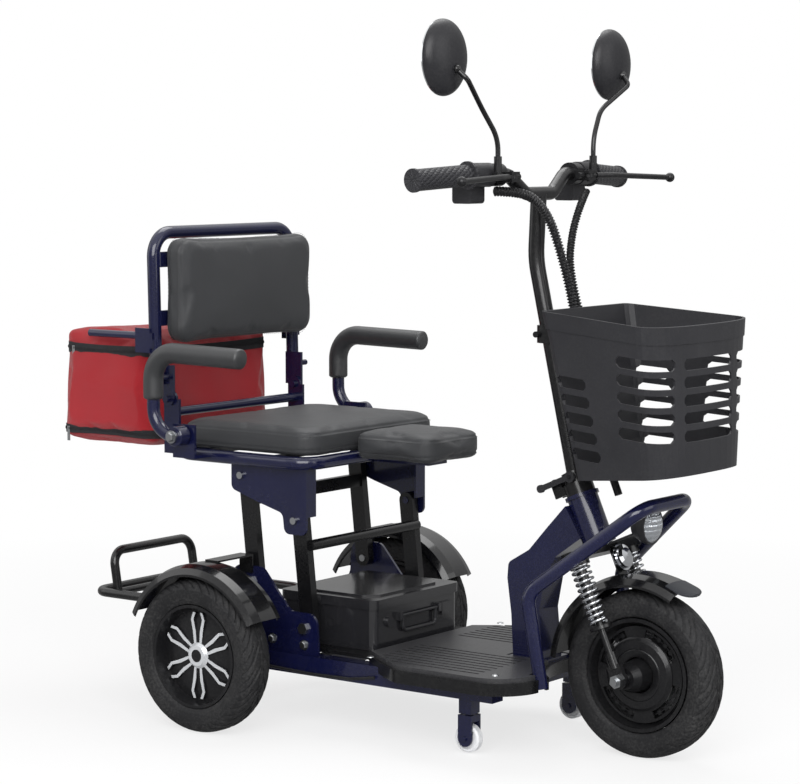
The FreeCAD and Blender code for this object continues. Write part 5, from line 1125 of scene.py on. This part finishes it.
class SCOOTER_OT_looms(bpy.types.Operator):
    """Make the spiral-wrapped cable looms"""
    bl_idname = "scooter.looms"
    bl_label = "Make cable looms"

    def execute(self, context):
        """Routes in millimetres. The radius follows a clipped wave of the run less the turn, and
        the wrap stops a little over half a metre above the ground."""
        right = [(281, -118, 895.2), (303, -74, 894), (314, -44, 878), (321, -20, 848),
                 (327, -9, 817), (340, 1, 761), (352, 5, 702), (359, 8, 640), (365, 22, 580),
                 (375, 28, 525), (391, 30, 478), (411, 30, 438), (423, 29, 410)]
        left = [(297, 124, 892), (304, 98, 874), (307, 72, 837), (314, 52, 807), (323, 35, 778),
                (345, 18.4, 727), (356, 18.9, 695)]
        step, wrap_end = 0.0011, 0.52
        for name, route, radius in (("Loom_right", right, 0.0075), ("Loom_left", left, 0.006)):
            path = smooth_line(np.array(route) / 1000, step)
            run = np.linspace(0, step * len(path), len(path))
            turn = np.linspace(0, 2 * np.pi, 22, endpoint=False)
            phase = 2 * np.pi * run[:, None] / sizes().wrap_pitch - turn[None]
            wrapped = np.clip((path[:, 2] - wrap_end) / 0.01, 0, 1)[:, None]
            size = radius - 0.0011 + 0.0016 * wrapped * np.clip(np.cos(phase) * 1.6, -0.6, 1)
            ring = np.stack([np.cos(turn) * size, np.sin(turn) * size], -1)
            loom = Shape().tube(path, ring, (0.7, 0.7, 0.1)).piece(
                name, finish_named("Cable wrap"), "column", "rubber", 60)
            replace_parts(loom, "wiring_loom")
        return {"FINISHED"}


def hex_head(shape, centre, axis, size, height):
    """Hexagon head with a chamfered top, on a washer."""
    axis = np.asarray(axis, float)
    rim, washer = size * 1.45, 0.0012
    shape.turned(centre, axis, [(0, 0), (rim, 0), (rim, washer), (size, washer)], 28)
    shape.turned(np.asarray(centre) + axis * 0.001, axis,
                 [(size * 1.1, 0), (size * 1.1, height * 0.75), (size * 0.92, height),
                  (0, height)], 6)


class SCOOTER_OT_fasteners(bpy.types.Operator):
    """Make the visible bolts and caps"""
    bl_idname = "scooter.fasteners"
    bl_label = "Make fasteners"

    def execute(self, context):
        seat, chassis = Shape(), Shape()
        plate_low, plate_high = box_of("side_plates")
        mat_low, mat_high = box_of("floor_mat")
        arm_low = box_of("armrest_right")[0]
        pivot_x, pivot_z, pivot_face = arm_low[0] + 0.072, arm_low[2] + 0.017, 0.2705
        plate_bolts = ((plate_low[0] + 0.03, plate_low[2] + 0.02),
                       (plate_high[0] - 0.03, plate_low[2] + 0.016),
                       ((plate_low[0] + plate_high[0]) / 2, plate_low[2] + 0.02))
        stud = [(0.006, 0), (0.0055, 0.001), (0.003, 0.002), (0, 0.0022)]
        for side in (-1, 1):
            out = (0, side, 0)
            hex_head(seat, (pivot_x, side * pivot_face, pivot_z), out, 0.0075, 0.006)
            for x, z in plate_bolts:
                hex_head(chassis, (x, side * plate_high[1], z), out, 0.006, 0.005)
            for x in (mat_low[0] + 0.03, mat_high[0] - 0.05):
                chassis.turned((x, side * (mat_high[1] - 0.03), mat_high[2]), (0, 0, 1), stud, 20)
        for body, shape in (("seat", seat), ("chassis", chassis)):
            shape.piece("Bolts_" + body, finish_named("Zinc"), body, "steel", 25)
        return {"FINISHED"}


class SCOOTER_OT_flap(bpy.types.Operator):
    """Make the rubber flap at the tip of the front fender"""
    bl_idname = "scooter.flap"
    bl_label = "Make fender flap"

    def execute(self, context):
        """The flap is a closed lens-shaped slab over the fender: the angle runs round the fender,
        the side runs across it, and the outline closes in a half ellipse at the tip."""
        low, high = box_of("front_fender")
        tyre_low, tyre_high = box_of("front_tyre")
        hub = (tyre_low + tyre_high) / 2
        half = (high[1] - low[1]) / 2
        mesh = NODES["front_fender"].data
        co = co_of(mesh)
        front = co[co[:, 0] > high[0] - 0.03]
        lean = np.arctan2(front[:, 2] - hub[2], front[:, 0] - hub[0])
        size = np.hypot(front[:, 0] - hub[0], front[:, 2] - hub[2]).max()
        tip = lean.min()
        rows, columns = 30, 33
        a, c = np.meshgrid(np.linspace(0, 1, rows), np.linspace(-1, 1, columns), indexing="ij")
        outline = 1 - np.clip((0.5 - a) / 0.5, 0, 1) ** 2.2
        width = 0.72 * half * np.sqrt(np.clip(outline, 1e-4, 1))
        angle = tip - 0.12 + a * 0.27
        rise = 0.0011 + 0.0055 * (1 - a) ** 2
        drop = 0.003 * np.abs(c) ** 3
        shape = Shape()
        for lift, order in ((rise, 1), (rise - 0.0032, -1)):
            r = size + lift - drop
            sheet = np.stack([hub[0] + r * np.cos(angle), hub[1] + c * width,
                              hub[2] + r * np.sin(angle)], -1)
            shape.add(sheet, quads(rows, columns, False, False)[:, ::order])
        corners = np.arange(rows * columns).reshape(rows, columns)
        rim = np.concatenate([corners[0], corners[1:-1, -1], corners[-1, ::-1],
                              corners[-2:0:-1, 0]])
        ahead, under = np.roll(rim, -1), rows * columns
        shape.faces.extend(np.stack([rim, ahead, ahead + under, rim + under], 1).tolist())
        shape.piece("Fender_flap", finish_named("Fender flap"), "steering", "rubber", 50)
        return {"FINISHED"}


class SCOOTER_OT_front_hub(bpy.types.Operator):
    """Make the hub shell and the slotted plate inside the front rim"""
    bl_idname = "scooter.front_hub"
    bl_label = "Make front hub"
    PHASE = 5.15

    def execute(self, context):
        """The shell is a stepped profile turned about the axle; the plate is a ring of bridges
        between two turned rings, one bridge for each slot."""
        low, high = box_of("front_tyre")
        hub = (low + high) / 2
        shell = Shape().turned(hub, AXLE, [
            (0.0285, 0.0135), (0.0285, 0.0215), (0.031, 0.0228), (0.040, 0.0232), (0.0415, 0.0222),
            (0.0425, 0.0232), (0.054, 0.0222), (0.0565, 0.0200), (0.0585, 0.0180),
            (0.0605, 0.0172), (0.0605, 0.0135), (0.0285, 0.0135)], 96)
        shell.piece("Front_hub_shell", finish_named("Black alloy"), "front_wheel", "rim_black", 30)
        ring = Shape().turned(hub, AXLE, [(0.0733, 0.0132), (0.0733, 0.0158), (0.0775, 0.0158),
                                          (0.0775, 0.0132), (0.0733, 0.0132)], 96)
        for depths, radii, count, open_cells, group, wide in (
                ((0.0134, 0.0156), (0.0600, 0.0740), 80, 13, 20, 1.02),
                ((0.0098, 0.0112), (0.0632, 0.0702), 60, 1, 2, 0.9)):
            cell = np.arange(count)
            cell = cell[cell % group >= open_cells]
            half = np.pi / count * wide
            turn = cell[:, None] * 2 * np.pi / count + self.PHASE + np.array([-half, half])[None]
            spoke = np.stack([np.cos(turn), np.sin(turn)], -1)
            corner = np.stack([spoke * radius for radius in radii], 1)
            grid = np.zeros((len(cell), 2, 2, 2, 3))
            grid[..., 0] = hub[0] + corner[:, :, :, None, 0]
            grid[..., 2] = hub[2] + corner[:, :, :, None, 1]
            grid[..., 1] = hub[1] - np.array(depths)
            faces = np.array([[0, 1, 3, 2], [4, 6, 7, 5], [0, 4, 5, 1], [2, 3, 7, 6], [0, 2, 6, 4],
                              [1, 5, 7, 3]])
            starts = np.arange(len(cell)) * 8
            ring.add(grid, (faces[None] + starts[:, None, None]).reshape(-1, 4))
        inner, outer, near, far = 0.0667 - 0.0008, 0.0667 + 0.0008, 0.0096, 0.0114
        ring.turned(hub, AXLE, [(inner, near), (inner, far), (outer, far), (outer, near),
                                (inner, near)], 96)
        ring.piece("Front_slotted_plate", finish_named("Black alloy"), "front_wheel", "rim_black",
                   25)
        return {"FINISHED"}


class SCOOTER_OT_stage(bpy.types.Operator):
    """Make the floor, the lamps and the camera"""
    bl_idname = "scooter.stage"
    bl_label = "Make studio"

    def execute(self, context):
        self.floor()
        self.world(context.scene)
        for name, spot, aim, size, power in (
                ("Key", (2.2, -3.4, 2.6), (0, 0, 0.5), (3.6, 2.8), 180),
                ("Top", (-0.5, 0.9, 3.2), (0, 0, 0.4), (2.2, 1.8), 40),
                ("Fill", (-3.2, -2.0, 1.6), (0, 0, 0.5), (2.2, 2.2), 14),
                ("Front", (3.6, 0.4, 1.8), (0, 0, 0.5), (2.6, 2.4), 30)):
            self.lamp(name, spot, aim, size, power)
        self.camera(context.scene)
        context.scene.view_settings.view_transform = "Standard"
        return {"FINISHED"}

    def floor(self):
        """A large pale floor that keeps the shadow near the object and turns plain further out."""
        mesh = bpy.data.meshes.new("Floor")
        mesh.from_pydata([(-30, -30, 0), (30, -30, 0), (30, 30, 0), (-30, 30, 0)], [],
                         [(0, 1, 2, 3)])
        floor = bpy.data.objects.new("Floor", mesh)
        bpy.context.scene.collection.objects.link(floor)
        material = bpy.data.materials.new("Pale floor")
        material.use_nodes = True
        tree = material.node_tree
        tree.nodes.clear()
        rays = add(tree, "LightPath").outputs
        seen = math_of(tree, "MAXIMUM", rays["Is Camera Ray"], rays["Is Transmission Ray"])
        far = add(tree, "MapRange", {"Value": distance_from(tree, (0, 0, 0)), "From Min": 0.9,
                                     "From Max": 2.2, "To Min": 0.74, "To Max": 1.0}).outputs[0]
        plain = math_of(tree, "MULTIPLY", seen, far)
        share = math_of(tree, "MAXIMUM", plain, rays["Is Glossy Ray"])
        strength = math_of(tree, "MULTIPLY_ADD", rays["Is Glossy Ray"], -0.66, 1.0)
        cloth = add(tree, "BsdfDiffuse", {"Color": (0.92, 0.92, 0.925, 1)})
        glow = add(tree, "Emission", {"Color": (1, 1, 1, 1), "Strength": strength})
        mixed = add(tree, "MixShader", {0: share, 1: cloth.outputs[0], 2: glow.outputs[0]})
        add(tree, "OutputMaterial", {0: mixed.outputs[0]})
        mesh.materials.append(material)

    def world(self, scene):
        """White to the eye and to reflections, softer as a light."""
        world = bpy.data.worlds.new("Studio")
        scene.world = world
        world.use_nodes = True
        tree = world.node_tree
        tree.nodes.clear()
        rays = add(tree, "LightPath").outputs
        seen = math_of(tree, "MAXIMUM", rays["Is Camera Ray"], rays["Is Transmission Ray"])
        sky = add(tree, "TexCoord").outputs["Generated"]
        height = add(tree, "SeparateXYZ", {0: sky}).outputs[2]
        above = add(tree, "MapRange", {"Value": height, "From Min": 0.2, "From Max": 0.75,
                                       "To Min": 0.3, "To Max": 1.25}).outputs[0]
        shine = math_of(tree, "MULTIPLY", rays["Is Glossy Ray"], above)
        strength = math_of(tree, "MAXIMUM", math_of(tree, "MAXIMUM", seen, shine), 0.36)
        back = add(tree, "Background", {"Color": (1, 1, 1, 1), "Strength": strength})
        add(tree, "OutputWorld", {0: back.outputs[0]})

    def lamp(self, name, spot, aim, size, power):
        """A soft rectangular lamp."""
        data = bpy.data.lights.new(name, "AREA")
        data.shape = "RECTANGLE"
        data.size, data.size_y = size
        data.energy = power
        lamp = bpy.data.objects.new(name, data)
        lamp.location = spot
        lamp.rotation_euler = (Vector(aim) - Vector(spot)).to_track_quat("-Z", "Y").to_euler()
        bpy.context.scene.collection.objects.link(lamp)

    def camera(self, scene):
        """Long lens from the front right, a little above the handlebar."""
        data = bpy.data.cameras.new("Camera")
        data.sensor_width = 36
        data.lens = 117.05
        data.clip_end = 100
        camera = bpy.data.objects.new("Camera", data)
        spot = Vector((2.6052, -3.4929, 0.9723))
        camera.location = spot
        aim = Vector((0.056, -0.0641, 0.5616))
        camera.rotation_euler = (aim - spot).to_track_quat("-Z", "Y").to_euler()
        scene.collection.objects.link(camera)
        scene.camera = camera


class SCOOTER_PT_panel(bpy.types.Panel):
    """Lists the steps that dress the scooter"""
    bl_label = "Mobility scooter"
    bl_space_type = "VIEW_3D"
    bl_region_type = "UI"
    bl_category = "Scooter"

    def draw(self, context):
        for group in (context.scene.scooter_sizes, context.scene.scooter_colours):
            for key in group.__annotations__:
                self.layout.prop(group, key)
        for operator in OPERATORS:
            self.layout.operator(operator.bl_idname)


OPERATORS = (SCOOTER_OT_stage, SCOOTER_OT_finishes, SCOOTER_OT_cushions, SCOOTER_OT_bag,
             SCOOTER_OT_armrests, SCOOTER_OT_tyres, SCOOTER_OT_springs, SCOOTER_OT_looms,
             SCOOTER_OT_fasteners, SCOOTER_OT_flap, SCOOTER_OT_front_hub)
CLASSES = (ScooterSizes, ScooterColours) + OPERATORS + (SCOOTER_PT_panel,)


def register():
    """Add the classes and the scene's settings."""
    for item in CLASSES:
        bpy.utils.register_class(item)
    bpy.types.Scene.scooter_sizes = PointerProperty(type=ScooterSizes)
    bpy.types.Scene.scooter_colours = PointerProperty(type=ScooterColours)


def unregister():
    """Take them away again."""
    del bpy.types.Scene.scooter_colours
    del bpy.types.Scene.scooter_sizes
    for item in reversed(CLASSES):
        bpy.utils.unregister_class(item)


def main():
    """Run every step."""
    register()
    for operator in OPERATORS:
        group, name = operator.bl_idname.split(".")
        getattr(getattr(bpy.ops, group), name)()


if __name__ == "__main__":
    main()
